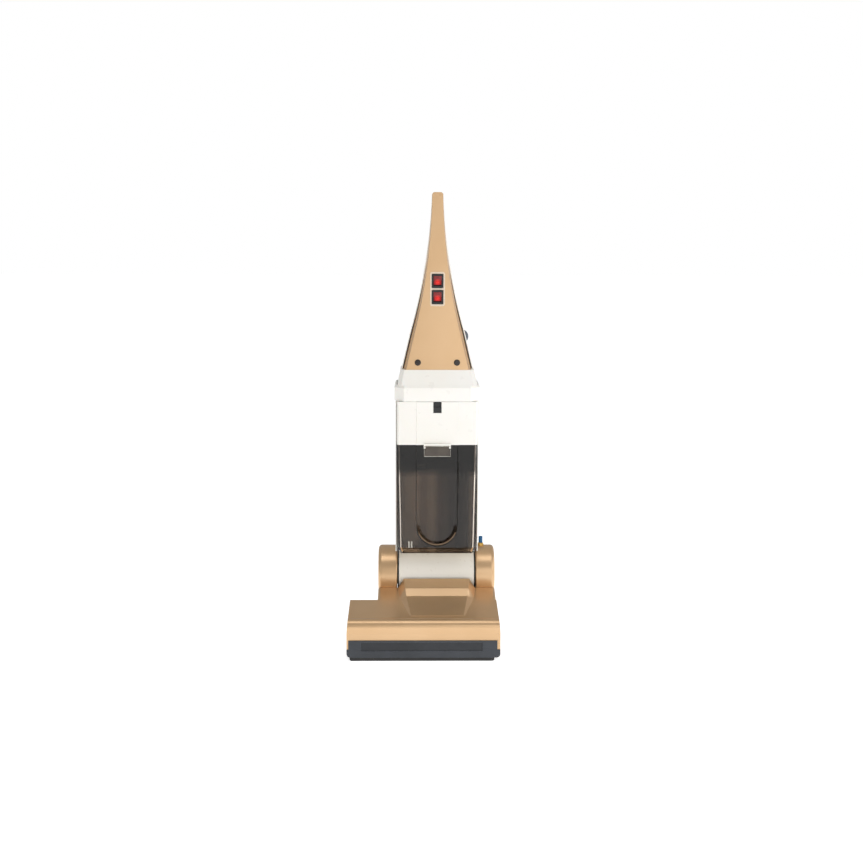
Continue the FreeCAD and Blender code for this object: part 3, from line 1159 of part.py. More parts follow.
def back_face_y(z):
    """Back of the handle before it leans, at a height above the shoulder's straight stretch."""
    y1 = HANDLE_FRONT_Y + HANDLE_BACK_BASE_DEPTH
    start = SHOULDER_TOP_Z + 50
    end = SHOULDER_TOP_Z + LOOP_LOW - 20
    end_y = HANDLE_FRONT_Y + COVER_DEPTH + HANDLE_BACK_TOP_DEPTH + 6
    if z <= start:
        return y1
    return y1 + (end_y - y1) * min(1.0, (z - start) / (end - start))


def grip_loop():
    """Closed grip behind the handle: a rounded D of bar with a gap for the fingers."""
    low = SHOULDER_TOP_Z + LOOP_LOW
    high = SHOULDER_TOP_Z + LOOP_HIGH
    y0 = HANDLE_FRONT_Y + COVER_DEPTH + HANDLE_BACK_TOP_DEPTH + 4
    y1 = y0 + LOOP_REACH
    bar = LOOP_BAR
    x0 = BODY_OFFSET_X - LOOP_WIDTH / 2
    x1 = BODY_OFFSET_X + LOOP_WIDTH / 2
    outer = prism_x([(y0, low), (y1 - 12, low + 24), (y1, high - 40), (y1 - 10, high), (y0, high)], x0, x1)
    outer = fillet_where(outer, 15.0, lambda edge: along(edge, "x") and edge.CenterOfMass.y > y0 + 5)
    inner = prism_x([(y0 - 1, low + bar), (y1 - bar - 9, low + bar + 16), (y1 - bar, high - bar - 16),
                     (y1 - bar - 6, high - bar), (y0 - 1, high - bar)], x0 - 1, x1 + 1)
    inner = fillet_where(inner, 8.0, lambda edge: along(edge, "x") and edge.CenterOfMass.y > y0 + 5)
    loop = outer.cut(inner)
    loop = fillet_where(loop, 6.0, lambda edge: abs(abs(edge.CenterOfMass.x - BODY_OFFSET_X)
                                                    - LOOP_WIDTH / 2) < 0.01
                        and edge.CenterOfMass.y > y0 + 1)
    tangs = [box(x0 + 3, x1 - 3, y0 - 6, y0 + 1, low + 3, low + bar - 3),
             box(x0 + 3, x1 - 3, y0 - 6, y0 + 1, high - bar + 3, high - 3)]
    back = [box(-FAR, FAR, y0 - 60, back_face_y(SHOULDER_TOP_Z + z) + 0.2,
                SHOULDER_TOP_Z + z, SHOULDER_TOP_Z + z + 60) for z in (LOOP_LOW - 30,)]
    return lean(loop.fuse(tangs).cut(back).cut(handle_room()))


def handle_room():
    """Space that the handle's rear shell takes, for the grip to end on."""
    y0 = HANDLE_FRONT_Y + COVER_DEPTH
    top_z = SHOULDER_TOP_Z + HANDLE_LENGTH + 10
    knee_z = SHOULDER_TOP_Z + LOOP_LOW - 20
    top_y = y0 + HANDLE_BACK_TOP_DEPTH + SEAT_GAP
    y1 = HANDLE_FRONT_Y + HANDLE_BACK_BASE_DEPTH
    return prism_x([(y0, SHOULDER_TOP_Z), (y1, SHOULDER_TOP_Z), (y1, SHOULDER_TOP_Z + 50),
                    (top_y + 6, knee_z), (top_y, top_z), (y0, top_z)], -300, 300)


def switch_surround():
    """Thin rounded plate round both switches."""
    z0 = SHOULDER_TOP_Z + SWITCH_RISE - SURROUND_HEIGHT / 2
    y1 = HANDLE_FRONT_Y - 0.02
    plate = box(BODY_OFFSET_X - SURROUND_WIDTH / 2, BODY_OFFSET_X + SURROUND_WIDTH / 2,
                y1 - SURROUND_PROUD, y1, z0, z0 + SURROUND_HEIGHT)
    plate = fillet_where(plate, SURROUND_CORNER, lambda edge: along(edge, "y"))
    holes = [box(BODY_OFFSET_X - SWITCH_WIDTH / 2 - SEAT_GAP, BODY_OFFSET_X + SWITCH_WIDTH / 2 + SEAT_GAP,
                 y1 - 9, y1 + 1, z - SWITCH_HEIGHT / 2 - SEAT_GAP, z + SWITCH_HEIGHT / 2 + SEAT_GAP)
             for z in switch_heights()]
    return lean(plate.cut(holes))


def switch_frames():
    """Black frames with the switch bodies behind them; each is open where its rocker sits."""
    frames = []
    face = HANDLE_FRONT_Y - 0.02
    for z in switch_heights():
        frame = box(BODY_OFFSET_X - SWITCH_WIDTH / 2, BODY_OFFSET_X + SWITCH_WIDTH / 2, face - 4.0, face,
                    z - SWITCH_HEIGHT / 2, z + SWITCH_HEIGHT / 2)
        frame = fillet_where(frame, 2.5, lambda edge: along(edge, "y"))
        frame = fillet_where(frame, 1.5, lambda edge: edge.CenterOfMass.y < face - 3.9)
        body = box(BODY_OFFSET_X - ROCKER_WIDTH / 2 - 3, BODY_OFFSET_X + ROCKER_WIDTH / 2 + 3,
                   face - 1, HANDLE_FRONT_Y + SWITCH_BODY_DEPTH, z - ROCKER_HEIGHT / 2 - 3,
                   z + ROCKER_HEIGHT / 2 + 3)
        room = box(BODY_OFFSET_X - ROCKER_WIDTH / 2 - MOVING_GAP,
                   BODY_OFFSET_X + ROCKER_WIDTH / 2 + MOVING_GAP,
                   face - 5, HANDLE_FRONT_Y + SWITCH_BODY_DEPTH - 3,
                   z - ROCKER_HEIGHT / 2 - MOVING_GAP, z + ROCKER_HEIGHT / 2 + MOVING_GAP)
        seats = rod_x(ROCKER_PIN_RADIUS + SEAT_GAP, BODY_OFFSET_X - ROCKER_WIDTH / 2 - 3.5,
                      BODY_OFFSET_X + ROCKER_WIDTH / 2 + 3.5, HANDLE_FRONT_Y + 1, z)
        frames.append(frame.fuse(body).cut(room).cut(seats))
    return lean(Part.makeCompound(frames))


def rocker(z):
    """Rocker with two flat wings on a pivot pin, pressed in at its upper end."""
    half = ROCKER_HEIGHT / 2 - 0.8
    face = HANDLE_FRONT_Y - 5.0
    body = prism_x([(face - 1.8, z - half), (face, z), (face - 1.8, z + half),
                    (HANDLE_FRONT_Y + 2, z + half - 1.2), (HANDLE_FRONT_Y + 6, z + 3),
                    (HANDLE_FRONT_Y + 6, z - 3), (HANDLE_FRONT_Y + 2, z - half + 1.2)],
                   BODY_OFFSET_X - ROCKER_WIDTH / 2, BODY_OFFSET_X + ROCKER_WIDTH / 2)
    body = body.fuse(rod_x(ROCKER_PIN_RADIUS, BODY_OFFSET_X - ROCKER_WIDTH / 2 - 2.5,
                           BODY_OFFSET_X + ROCKER_WIDTH / 2 + 2.5, HANDLE_FRONT_Y + 1, z))
    body.rotate(Vector(0, HANDLE_FRONT_Y + 1, z), Vector(1, 0, 0), -ROCKER_TILT)
    return lean(body)


def handle_screws():
    """Two domed caps with the screws under them."""
    screws = []
    for side in (-1, 1):
        x = BODY_OFFSET_X + side * CAP_SCREW_SPACING / 2
        z = SHOULDER_TOP_Z + CAP_SCREW_RISE
        cap = rod_y(CAP_SCREW_RADIUS, HANDLE_FRONT_Y - 3.4, HANDLE_FRONT_Y - 0.02, x, z)
        cap = fillet_where(cap, 2.8, lambda edge: edge.Closed
                           and edge.CenterOfMass.y < HANDLE_FRONT_Y - 3)
        screws.append(cap.fuse(rod_y(2.0, HANDLE_FRONT_Y - 1, HANDLE_FRONT_Y + 22, x, z)))
    return lean(Part.makeCompound(screws)).common(lean_foot())


def cord_gland():
    """Strain relief socket for the mains lead, in the back of the handle."""
    y1 = HANDLE_FRONT_Y + HANDLE_BACK_BASE_DEPTH
    x = BODY_OFFSET_X - GLAND_OFFSET
    z = SHOULDER_TOP_Z + GLAND_RISE
    barrel = rod_y(GLAND_RADIUS - SEAT_GAP, y1 - 10, y1 + 10, x, z)
    flange = rod_y(GLAND_RADIUS + 3, y1 + 0.1, y1 + 3, x, z)
    return lean(barrel.fuse(flange).cut(rod_y(4.2, y1 - 11, y1 + 11, x, z)))


def upper_cord_hook():
    """Swivelling hook on a pin in the handle's back, turned to the right."""
    z = hook_z()
    y0 = HANDLE_FRONT_Y + HANDLE_BACK_BASE_DEPTH + MOVING_GAP
    middle = BODY_OFFSET_X
    end = middle + HOOK_REACH - HOOK_HEIGHT / 2
    half = HOOK_HEIGHT / 2
    arm = box(middle, end, y0, y0 + 6, z - half + 6, z + half - 6)
    tip = rod_y(half, y0, y0 + 6, end, z)
    hub = rod_y(half - 2, y0, y0 + 8, middle, z)
    lip = rod_y(half, y0 + 6, y0 + 30, end, z).cut(rod_y(half - 6, y0 + 5, y0 + 31, end, z))
    lip = lip.common(box(end + 1, end + FAR, y0, y0 + 31, z - half, z + half))
    flare = rod_y(half, y0 + 24, y0 + 30, end, z).common(
        box(end - 4, end + FAR, y0, y0 + 31, z - half, z + half))
    pin = rod_y(HOOK_PIN, y0 - 12, y0 + 1, middle, z)
    return lean(arm.fuse([tip, hub, lip, flare, pin]).removeSplitter())


def lower_cord_hook():
    """Fixed hook low on the back of the housing."""
    z = TANK_BOTTOM_Z + 96
    y0 = HOUSING_BACK_Y + 0.05
    stem = rounded_bar(BODY_OFFSET_X - 20, BODY_OFFSET_X + 20, y0, y0 + 30, z - 5, z + 5, 3.0, "y")
    lip = rounded_bar(BODY_OFFSET_X - 28, BODY_OFFSET_X + 28, y0 + 25, y0 + 32, z - 30, z + 5, 5.0, "y")
    return stem.fuse(lip).removeSplitter()


# ---- all pieces ---------------------------------------------------------------------------------


def cut_for_nipple(cover):
    return cover.cut(nipple_room())


def main():
    os.makedirs("parts", exist_ok=True)
    low_switch, high_switch = switch_heights()
    pieces = {
        "front_hood": front_hood(),
        "front_bumper": front_bumper(),
        "bumper_window": bumper_window(),
        "squeegee_lip": squeegee_lip(),
        "brush_housing": brush_housing(),
        "brush_core": brush_core(),
        "brush_bristles": brush_bristles(),
        "brush_bearings": brush_bearings(),
        "brush_pulley": pulley(BRUSH_PULLEY_RADIUS, JOURNAL_RADIUS, BRUSH_Y, BRUSH_Z),
        "motor_pulley": pulley(MOTOR_PULLEY_RADIUS, JOURNAL_RADIUS, MOTOR_Y, MOTOR_Z),
        "drive_belt": drive_belt(),
        "brush_motor": brush_motor(),
        "motor_shaft": motor_shaft(),
        "spray_bar": spray_bar(),
        "base_chassis": base_chassis(),
        "front_rollers": front_rollers(),
        "rear_axle": rear_axle(),
        "right_wheel": right_wheel(),
        "right_tyre": right_tyre(),
        "left_wheel": mirrored(right_wheel()),
        "left_tyre": mirrored(right_tyre()),
        "rear_deck": rear_deck().cut(pedal_window()),
        "neck_cover": neck_cover(),
        "right_pivot_cover": cut_for_nipple(right_pivot_cover()),
        "left_pivot_cover": mirrored(right_pivot_cover()),
        "pivot_pins": pivot_pins(),
        "hose_nipple": hose_nipple(),
        "nipple_cap": nipple_cap(),
        "release_pedal": release_pedal(),
        "motor_barrel": motor_barrel(),
        "barrel_end_caps": barrel_end_caps(),
        "vacuum_motor": vacuum_motor(),
        "vacuum_fan": vacuum_fan(),
        "rear_shell": rear_shell(),
        "solution_tank": solution_tank(),
        "solution_cap": solution_cap(),
        "water_pump": water_pump(),
        "shoulder_band": shoulder_band(),
        "shoulder_cover": shoulder_cover(),
        "recovery_tank": recovery_tank(),
        "inlet_standpipe": inlet_standpipe(),
        "tank_gasket": tank_gasket(),
        "tank_lid": tank_lid(),
        "latch_button": latch_button(),
        "lid_clip": lid_clip(),
        "float_cage": float_cage(),
        "tank_float": tank_float(),
        "handle_cover": handle_cover(),
        "handle_back": handle_back(),
        "grip_loop": grip_loop(),
        "switch_surround": switch_surround(),
        "switch_frames": switch_frames(),
        "lower_rocker": rocker(low_switch),
        "upper_rocker": rocker(high_switch),
        "handle_screws": handle_screws(),
        "cord_gland": cord_gland(),
        "upper_cord_hook": upper_cord_hook(),
        "lower_cord_hook": lower_cord_hook(),
    }
    for name, shape in pieces.items():
        export(name, shape)


main()
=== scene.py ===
"""Looks of the upright carpet cleaner: finishes, small moulded details, floor, lights and camera."""

import json
import math
import random

import bmesh
import bpy
from mathutils import Matrix, Vector


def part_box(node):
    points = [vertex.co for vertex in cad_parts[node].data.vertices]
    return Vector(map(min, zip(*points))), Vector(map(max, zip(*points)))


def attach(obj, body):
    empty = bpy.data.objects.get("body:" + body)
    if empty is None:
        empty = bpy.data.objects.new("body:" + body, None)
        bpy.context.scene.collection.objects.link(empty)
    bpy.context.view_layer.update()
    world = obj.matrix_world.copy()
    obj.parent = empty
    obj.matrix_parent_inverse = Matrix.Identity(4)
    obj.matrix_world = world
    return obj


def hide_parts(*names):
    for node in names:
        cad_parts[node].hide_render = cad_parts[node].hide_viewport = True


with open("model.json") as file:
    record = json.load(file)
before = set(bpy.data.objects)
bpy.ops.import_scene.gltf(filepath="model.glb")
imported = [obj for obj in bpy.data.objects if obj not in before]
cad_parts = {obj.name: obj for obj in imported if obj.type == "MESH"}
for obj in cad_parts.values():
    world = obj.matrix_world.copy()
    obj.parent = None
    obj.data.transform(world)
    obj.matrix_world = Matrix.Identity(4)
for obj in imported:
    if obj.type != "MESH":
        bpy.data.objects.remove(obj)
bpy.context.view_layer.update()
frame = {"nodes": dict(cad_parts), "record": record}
nodes = frame["nodes"]
random.seed(7)                   # the bristles are the only random shape

GLOW_REACH = 0.0095              # how far the painted glow spreads across each switch lens

# ---- places read from the frame --------------------------------------------------------------------
tank_low, tank_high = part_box("recovery_tank")
lid_low, lid_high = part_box("tank_lid")
BODY_X = (tank_low.x + tank_high.x) / 2


# ---- node helpers ----------------------------------------------------------------------------------
def rgb(red, green, blue):
    """Linear colour from the 0 to 255 values that a paint chart gives."""
    def linear(value):
        value /= 255.0
        return value / 12.92 if value <= 0.04045 else ((value + 0.055) / 1.055) ** 2.4
    return (linear(red), linear(green), linear(blue), 1.0)


class Finish:
    """A procedural material: a principled shader and the few patterns that the finishes share."""

    def __init__(self, name, **sockets):
        self.material = bpy.data.materials.new(name)
        self.material.use_nodes = True
        self.tree = self.material.node_tree
        self.shader = self.tree.nodes["Principled BSDF"]
        for socket, value in sockets.items():
            self.shader.inputs[socket.replace("_", " ")].default_value = value
        self.place = self.add("ShaderNodeTexCoord").outputs["Object"]
        self.normal = None

    def add(self, kind, **inputs):
        node = self.tree.nodes.new(kind)
        for socket, value in inputs.items():
            self.set(node, socket.replace("_", " "), value)
        return node

    def set(self, node, socket, value):
        if isinstance(value, bpy.types.NodeSocket):
            self.tree.links.new(value, node.inputs[socket])
        else:
            node.inputs[socket].default_value = value

    def stretched(self, x, y, z):
        """Object coordinates drawn out along the axes, for grain that runs one way."""
        return self.add("ShaderNodeMapping", Vector=self.place, Scale=(x, y, z)).outputs["Vector"]

    def noise(self, scale, detail=3.0, roughness=0.5, place=None):
        """Noise of `scale` features to the metre."""
        node = self.add("ShaderNodeTexNoise", Vector=place or self.place, Scale=scale, Detail=detail,
                        Roughness=roughness)
        return node.outputs["Fac"]

    def cells(self, scale, place=None):
        """Cell pattern of `scale` cells to the metre."""
        node = self.add("ShaderNodeTexVoronoi", Vector=place or self.place, Scale=scale)
        return node.outputs["Distance"]

    def ramp(self, value, low, high, start=0.0, end=1.0):
        """The value's range from low to high, mapped to the range from start to end."""
        node = self.add("ShaderNodeMapRange", Value=value)
        for socket, number in (("From Min", low), ("From Max", high), ("To Min", start), ("To Max", end)):
            node.inputs[socket].default_value = number
        return node.outputs["Result"]

    def blend(self, share, first, second):
        """Mix of two colours: the first at share 0, the second at share 1."""
        node = self.tree.nodes.new("ShaderNodeMix")
        node.data_type = "RGBA"
        self.set(node, 0, share)
        self.set(node, 6, first)
        self.set(node, 7, second)
        return node.outputs[2]

    def bump(self, height, distance, strength=1.0):
        """Adds relief of `distance` metres; later reliefs lie on the earlier ones."""
        node = self.add("ShaderNodeBump", Height=height, Distance=distance, Strength=strength)
        if self.normal is not None:
            self.set(node, "Normal", self.normal)
        self.normal = node.outputs["Normal"]
        self.set(self.shader, "Normal", self.normal)

    def edge_wear(self, radius=0.0012):
        """1 on worn outer edges, 0 on flat faces, broken up by noise."""
        bevel = self.add("ShaderNodeBevel", Radius=radius)
        flat = self.add("ShaderNodeNewGeometry").outputs["Normal"]
        turn = self.tree.nodes.new("ShaderNodeVectorMath")
        turn.operation = "DOT_PRODUCT"
        self.set(turn, 0, bevel.outputs["Normal"])
        self.set(turn, 1, flat)
        edge = self.ramp(turn.outputs["Value"], 0.995, 0.93)
        broken = self.ramp(self.noise(260, 4), 0.42, 0.62)
        both = self.tree.nodes.new("ShaderNodeMath")
        both.operation = "MULTIPLY"
        self.set(both, 0, edge)
        self.set(both, 1, broken)
        return both.outputs["Value"]

    def colour(self, value):
        self.set(self.shader, "Base Color", value)

    def rough(self, value):
        self.set(self.shader, "Roughness", value)


# ---- finishes --------------------------------------------------------------------------------------
def champagne():
    """Satin champagne metallic paint: fine flake under a soft clear coat."""
    f = Finish("champagne_gold", Metallic=0.7, Coat_Weight=0.3, Coat_Roughness=0.14)
    drift = f.blend(f.ramp(f.noise(9, 2), 0.35, 0.65), rgb(217, 180, 138), rgb(212, 174, 131))
    flake = f.blend(f.ramp(f.noise(2600, 2, 0.7), 0.3, 0.75, 0.0, 0.2), drift, rgb(228, 200, 158))
    f.colour(flake)
    f.rough(f.ramp(f.noise(24, 4), 0.3, 0.7, 0.30, 0.34))
    f.bump(f.noise(60, 2), 0.00002, 0.1)
    return f.material


def white_shell():
    """Warm white gloss plastic with faint flow marks."""
    f = Finish("warm_white", Coat_Weight=0.15, Coat_Roughness=0.12, Subsurface_Weight=0.04,
               Subsurface_Scale=0.004)
    base = f.blend(f.ramp(f.noise(7, 3), 0.35, 0.7), rgb(246, 244, 239), rgb(242, 239, 231))
    marks = f.ramp(f.noise(90, 5, 0.65, f.stretched(1.0, 1.0, 0.25)), 0.66, 0.8, 0.0, 0.5)
    f.colour(f.blend(marks, base, rgb(226, 221, 210)))
    f.rough(f.ramp(f.noise(36, 5), 0.3, 0.75, 0.26, 0.4))
    f.bump(f.noise(420, 3), 0.00003, 0.4)
    return f.material


def barrel_white():
    """The creamier white of the motor housing."""
    f = Finish("cream_white", Coat_Weight=0.1, Coat_Roughness=0.15)
    base = f.blend(f.ramp(f.noise(8, 3), 0.35, 0.7), rgb(252, 248, 238), rgb(249, 244, 232))
    f.colour(f.blend(f.ramp(f.noise(120, 4), 0.62, 0.8, 0.0, 0.45), base, rgb(214, 205, 188)))
    f.rough(f.ramp(f.noise(36, 5), 0.3, 0.75, 0.3, 0.44))
    f.bump(f.noise(420, 3), 0.00003, 0.4)
    return f.material


LID_SHADE_FOOT, LID_SHADE_FULL = 0.70, 0.78   # shares of the tank's height where the painted shade under the lid starts and is full


def smoked():
    """Smoked brown clear plastic with upright streaks, and painted shade that darkens it towards the lid.
    """
    f = Finish("smoked_clear", IOR=1.42, Transmission_Weight=1.0)
    height = f.add("ShaderNodeSeparateXYZ", Vector=f.place).outputs["Z"]
    low, high = tank_low.z, tank_high.z
    # painted shade: the tint darkens towards the top, where the lid shades the tank
    darkening = f.ramp(height, low + LID_SHADE_FOOT * (high - low), low + LID_SHADE_FULL * (high - low))
    clean = f.blend(f.ramp(f.noise(30, 4), 0.4, 0.75), rgb(214, 202, 189), rgb(207, 194, 180))
    streaks = f.ramp(f.noise(19, 1, 0.5, f.stretched(1.0, 0.2, 0.02)), 0.44, 0.56)
    clean = f.blend(streaks, clean, rgb(158, 148, 140))
    f.colour(f.blend(darkening, clean, rgb(84, 76, 69)))
    f.rough(f.ramp(f.noise(160, 5, 0.6), 0.45, 0.75, 0.03, 0.12))
    f.bump(f.noise(60, 2), 0.00005, 0.3)
    return f.material


def smoked_clip():
    """The clip's smoked plastic, thicker and so less clear than the tank's."""
    f = Finish("smoked_clip", IOR=1.49, Transmission_Weight=0.35)
    f.colour(f.blend(f.ramp(f.noise(40, 4), 0.4, 0.75), rgb(98, 88, 78), rgb(70, 62, 55)))
    f.rough(f.ramp(f.noise(200, 5, 0.6), 0.45, 0.75, 0.08, 0.22))
    f.bump(f.noise(90, 2), 0.00005, 0.3)
    return f.material


def grained(name, dark, light, roughness, grain=1500, depth=0.00006, metallic=0.0):
    """Moulded plastic with a spark-eroded grain, two close tones and pale rubbed edges."""
    f = Finish(name, Metallic=metallic)
    tone = f.blend(f.ramp(f.noise(14, 3), 0.35, 0.7), dark, light)
    worn = tuple(min(1.0, c * 2.2 + 0.02) for c in light[:3]) + (1.0,)
    f.colour(f.blend(f.edge_wear(), tone, worn))
    f.rough(f.ramp(f.noise(60, 4), 0.3, 0.75, roughness - 0.06, roughness + 0.08))
    f.bump(f.cells(grain), depth, 0.45)
    return f.material


def rubber(name, dark, light):
    """Matt rubber with a dusty bloom."""
    f = Finish(name, Sheen_Weight=0.08)
    tone = f.blend(f.ramp(f.noise(18, 4), 0.35, 0.7), dark, light)
    f.colour(f.blend(f.ramp(f.noise(300, 5, 0.7), 0.55, 0.8, 0.0, 0.5), tone, rgb(105, 101, 95)))
    f.rough(f.ramp(f.noise(70, 4), 0.3, 0.75, 0.62, 0.85))
    f.bump(f.noise(1100, 4), 0.00008, 0.5)
    return f.material


def turned_metal(name, bright, dull, roughness, grain=(1.0, 60.0, 60.0)):
    """Machined metal with fine lines, and a few stains."""
    f = Finish(name, Metallic=1.0)
    lines = f.noise(70, 3, 0.6, f.stretched(*grain))
    tone = f.blend(f.ramp(lines, 0.3, 0.7), bright, dull)
    darkening = tuple(c * 0.55 for c in dull[:3]) + (1.0,)
    f.colour(f.blend(f.ramp(f.noise(80, 5), 0.6, 0.85, 0.0, 0.5), tone, darkening))
    f.rough(f.ramp(lines, 0.3, 0.7, roughness - 0.07, roughness + 0.09))
    f.bump(lines, 0.00002, 0.3)
    return f.material


def glowing_lens():
    """Red lens with a painted glow: emission makes it bright in the middle, dark red towards its rim."""
    f = Finish("red_lens", Coat_Weight=0.7, Coat_Roughness=0.06, Emission_Strength=1.0)
    painted_glow = None
    for switch in ("lower_rocker", "upper_rocker"):
        low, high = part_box(switch)
        middle = (low + high) / 2
        away = f.tree.nodes.new("ShaderNodeVectorMath")
        away.operation = "DISTANCE"
        f.set(away, 0, f.place)
        f.set(away, 1, (middle.x, low.y, middle.z - 0.15 * (high.z - low.z)))
        glow = f.ramp(away.outputs["Value"], GLOW_REACH, 0.2 * GLOW_REACH)
        if painted_glow is None:
            painted_glow = glow
        else:
            either = f.tree.nodes.new("ShaderNodeMath")
            either.operation = "MAXIMUM"
            f.set(either, 0, painted_glow)
            f.set(either, 1, glow)
            painted_glow = either.outputs["Value"]
    facets = f.ramp(f.cells(420), 0.0, 0.6)
    bright = f.blend(facets, rgb(255, 84, 66), rgb(232, 22, 20))
    f.colour(f.blend(f.ramp(f.noise(90, 3), 0.35, 0.7), rgb(128, 10, 12), rgb(96, 6, 8)))
    # painted glow: emission that makes the middle of each lens bright
    f.set(f.shader, "Emission Color", f.blend(painted_glow, rgb(40, 0, 0), bright))
    f.rough(f.ramp(f.noise(200, 4), 0.3, 0.7, 0.1, 0.22))
    f.bump(f.cells(420), 0.0001, 0.3)
    return f.material


def nylon():
    """Blue-grey bristle filaments, uneven in tone."""
    f = Finish("nylon_bristle", Sheen_Weight=0.2)
    f.colour(f.blend(f.ramp(f.noise(500, 3), 0.35, 0.65), rgb(34, 42, 56), rgb(84, 96, 116)))
    f.rough(f.ramp(f.noise(90, 3), 0.3, 0.7, 0.35, 0.55))
    f.bump(f.noise(1600, 2), 0.0001, 0.5)
    return f.material


def foam():
    """Matt off-white foam of the float."""
    f = Finish("float_foam")
    f.colour(f.blend(f.ramp(f.noise(60, 4), 0.35, 0.7), rgb(230, 226, 214), rgb(212, 204, 188)))
    f.rough(f.ramp(f.noise(60, 4), 0.3, 0.7, 0.6, 0.8))
    f.bump(f.cells(900), 0.0002, 0.6)
    return f.material


GOLD = champagne()
WHITE = white_shell()
CREAM = barrel_white()
SMOKED = smoked()
GREY = grained("grey_trim", rgb(190, 188, 182), rgb(204, 202, 196), 0.42)
PLATE = grained("switch_plate", rgb(226, 206, 182), rgb(234, 216, 194), 0.32)
HOOK_GREY = grained("hook_grey", rgb(84, 92, 102), rgb(100, 108, 118), 0.4)
BLACK = grained("black_plastic", rgb(26, 26, 28), rgb(36, 36, 38), 0.42)
BUMPER = grained("bumper_slate", rgb(47, 51, 57), rgb(58, 62, 69), 0.46, 900, 0.00012)
# painted shade: a darker copy of the bumper's slate for its recessed window
SHADED_SLATE = grained("shaded_recess_slate", rgb(33, 36, 41), rgb(42, 45, 51), 0.5, 900, 0.00012)
SOFT_RUBBER = rubber("soft_rubber", rgb(30, 30, 31), rgb(44, 43, 42))
TYRE = rubber("tyre_rubber", rgb(52, 52, 53), rgb(70, 69, 67))
WHEEL = grained("wheel_grey", rgb(118, 120, 122), rgb(136, 138, 140), 0.45)
BRISTLE = nylon()
STEEL = turned_metal("turned_steel", rgb(206, 206, 204), rgb(168, 169, 170), 0.26)
BRONZE = turned_metal("bearing_bronze", rgb(196, 156, 96), rgb(158, 120, 70), 0.38)
CAN = turned_metal("motor_can", rgb(182, 184, 186), rgb(150, 152, 156), 0.42, (1.0, 1.0, 1.0))
BRASS = turned_metal("brass_fitting", rgb(214, 178, 104), rgb(176, 138, 72), 0.28, (1.0, 1.0, 40.0))
BLUE = grained("blue_cap", rgb(0, 72, 116), rgb(4, 88, 136), 0.34)
LENS = glowing_lens()
CLIP = smoked_clip()
CAP = grained("cap_screw", rgb(38, 33, 30), rgb(52, 46, 42), 0.16)
CLEAN_TANK = grained("clean_tank", rgb(206, 208, 206), rgb(222, 223, 220), 0.36)
FOAM = foam()

FINISH_OF = {
    "gold_shell": GOLD, "white_shell": WHITE, "grey_trim": GREY, "smoked_clear": SMOKED,
    "black_plastic": BLACK, "bumper_plastic": BUMPER, "soft_rubber": SOFT_RUBBER, "tyre_rubber": TYRE,
    "wheel_plastic": WHEEL, "bristle": BRISTLE, "steel": STEEL, "bearing_bronze": BRONZE,
    "motor_can": CAN, "brass_fitting": BRASS, "blue_cap": BLUE, "red_lens": LENS, "cap_screw": CAP,
    "clean_tank": CLEAN_TANK, "float_foam": FOAM,
}
OWN_FINISH = {
    "lid_clip": CLIP, "motor_barrel": CREAM, "bumper_window": SHADED_SLATE, "switch_surround": PLATE,
    "upper_cord_hook": HOOK_GREY, "lower_cord_hook": HOOK_GREY,
}

SLOT_OF = {part["node"]: part["material_slot"] for part in frame["record"]["subparts"]}
for name, node in nodes.items():
    node.data.materials.clear()
    node.data.materials.append(OWN_FINISH.get(name, FINISH_OF[SLOT_OF[name]]))


# ---- building pieces -------------------------------------------------------------------------------
def piece(name, mesh, material, body, smooth=True):
    """A finished mesh as an object that rides on a body."""
    for face in mesh.polygons:
        face.use_smooth = smooth
    mesh.materials.append(material)
    made = bpy.data.objects.new(name, mesh)
    bpy.context.scene.collection.objects.link(made)
    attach(made, body)
    return made


def mesh_from(name, work):
    """The work's faces as a mesh, all turned outwards."""
    mesh = bpy.data.meshes.new(name)
    bmesh.ops.recalc_face_normals(work, faces=work.faces)
    work.to_mesh(mesh)
    work.free()
    return mesh


def bead(work, path, radius, sides=10, closed=False):
    """Round bead of `radius` along a path of points, with capped ends."""
    rings = []
    count = len(path)
    for index, point in enumerate(path):
        before = path[(index - 1) % count] if closed or index else point
        after = path[(index + 1) % count] if closed or index < count - 1 else point
        along = (after - before).normalized()
        side = along.cross(Vector((0, 1, 0)))
        side = side.normalized() if side.length > 1e-6 else Vector((1, 0, 0))
        other = along.cross(side)
        rings.append([work.verts.new(point + radius * (side * math.cos(turn) + other * math.sin(turn)))
                      for turn in (2 * math.pi * k / sides for k in range(sides))])
    pairs = list(zip(rings, rings[1:])) + ([(rings[-1], rings[0])] if closed else [])
    for first, second in pairs:
        for k in range(sides):
            work.faces.new((first[k], first[(k + 1) % sides], second[(k + 1) % sides], second[k]))
    if not closed:
        work.faces.new(rings[0])
        work.faces.new(rings[-1][::-1])


def slab(work, outline, y0, y1):
    """Solid between two copies of an (x, z) outline."""
    front = [work.verts.new((x, y0, z)) for x, z in outline]
    back = [work.verts.new((x, y1, z)) for x, z in outline]
    work.faces.new(front)
    work.faces.new(back[::-1])
    for k in range(len(outline)):
        after = (k + 1) % len(outline)
        work.faces.new((front[k], back[k], back[after], front[after]))


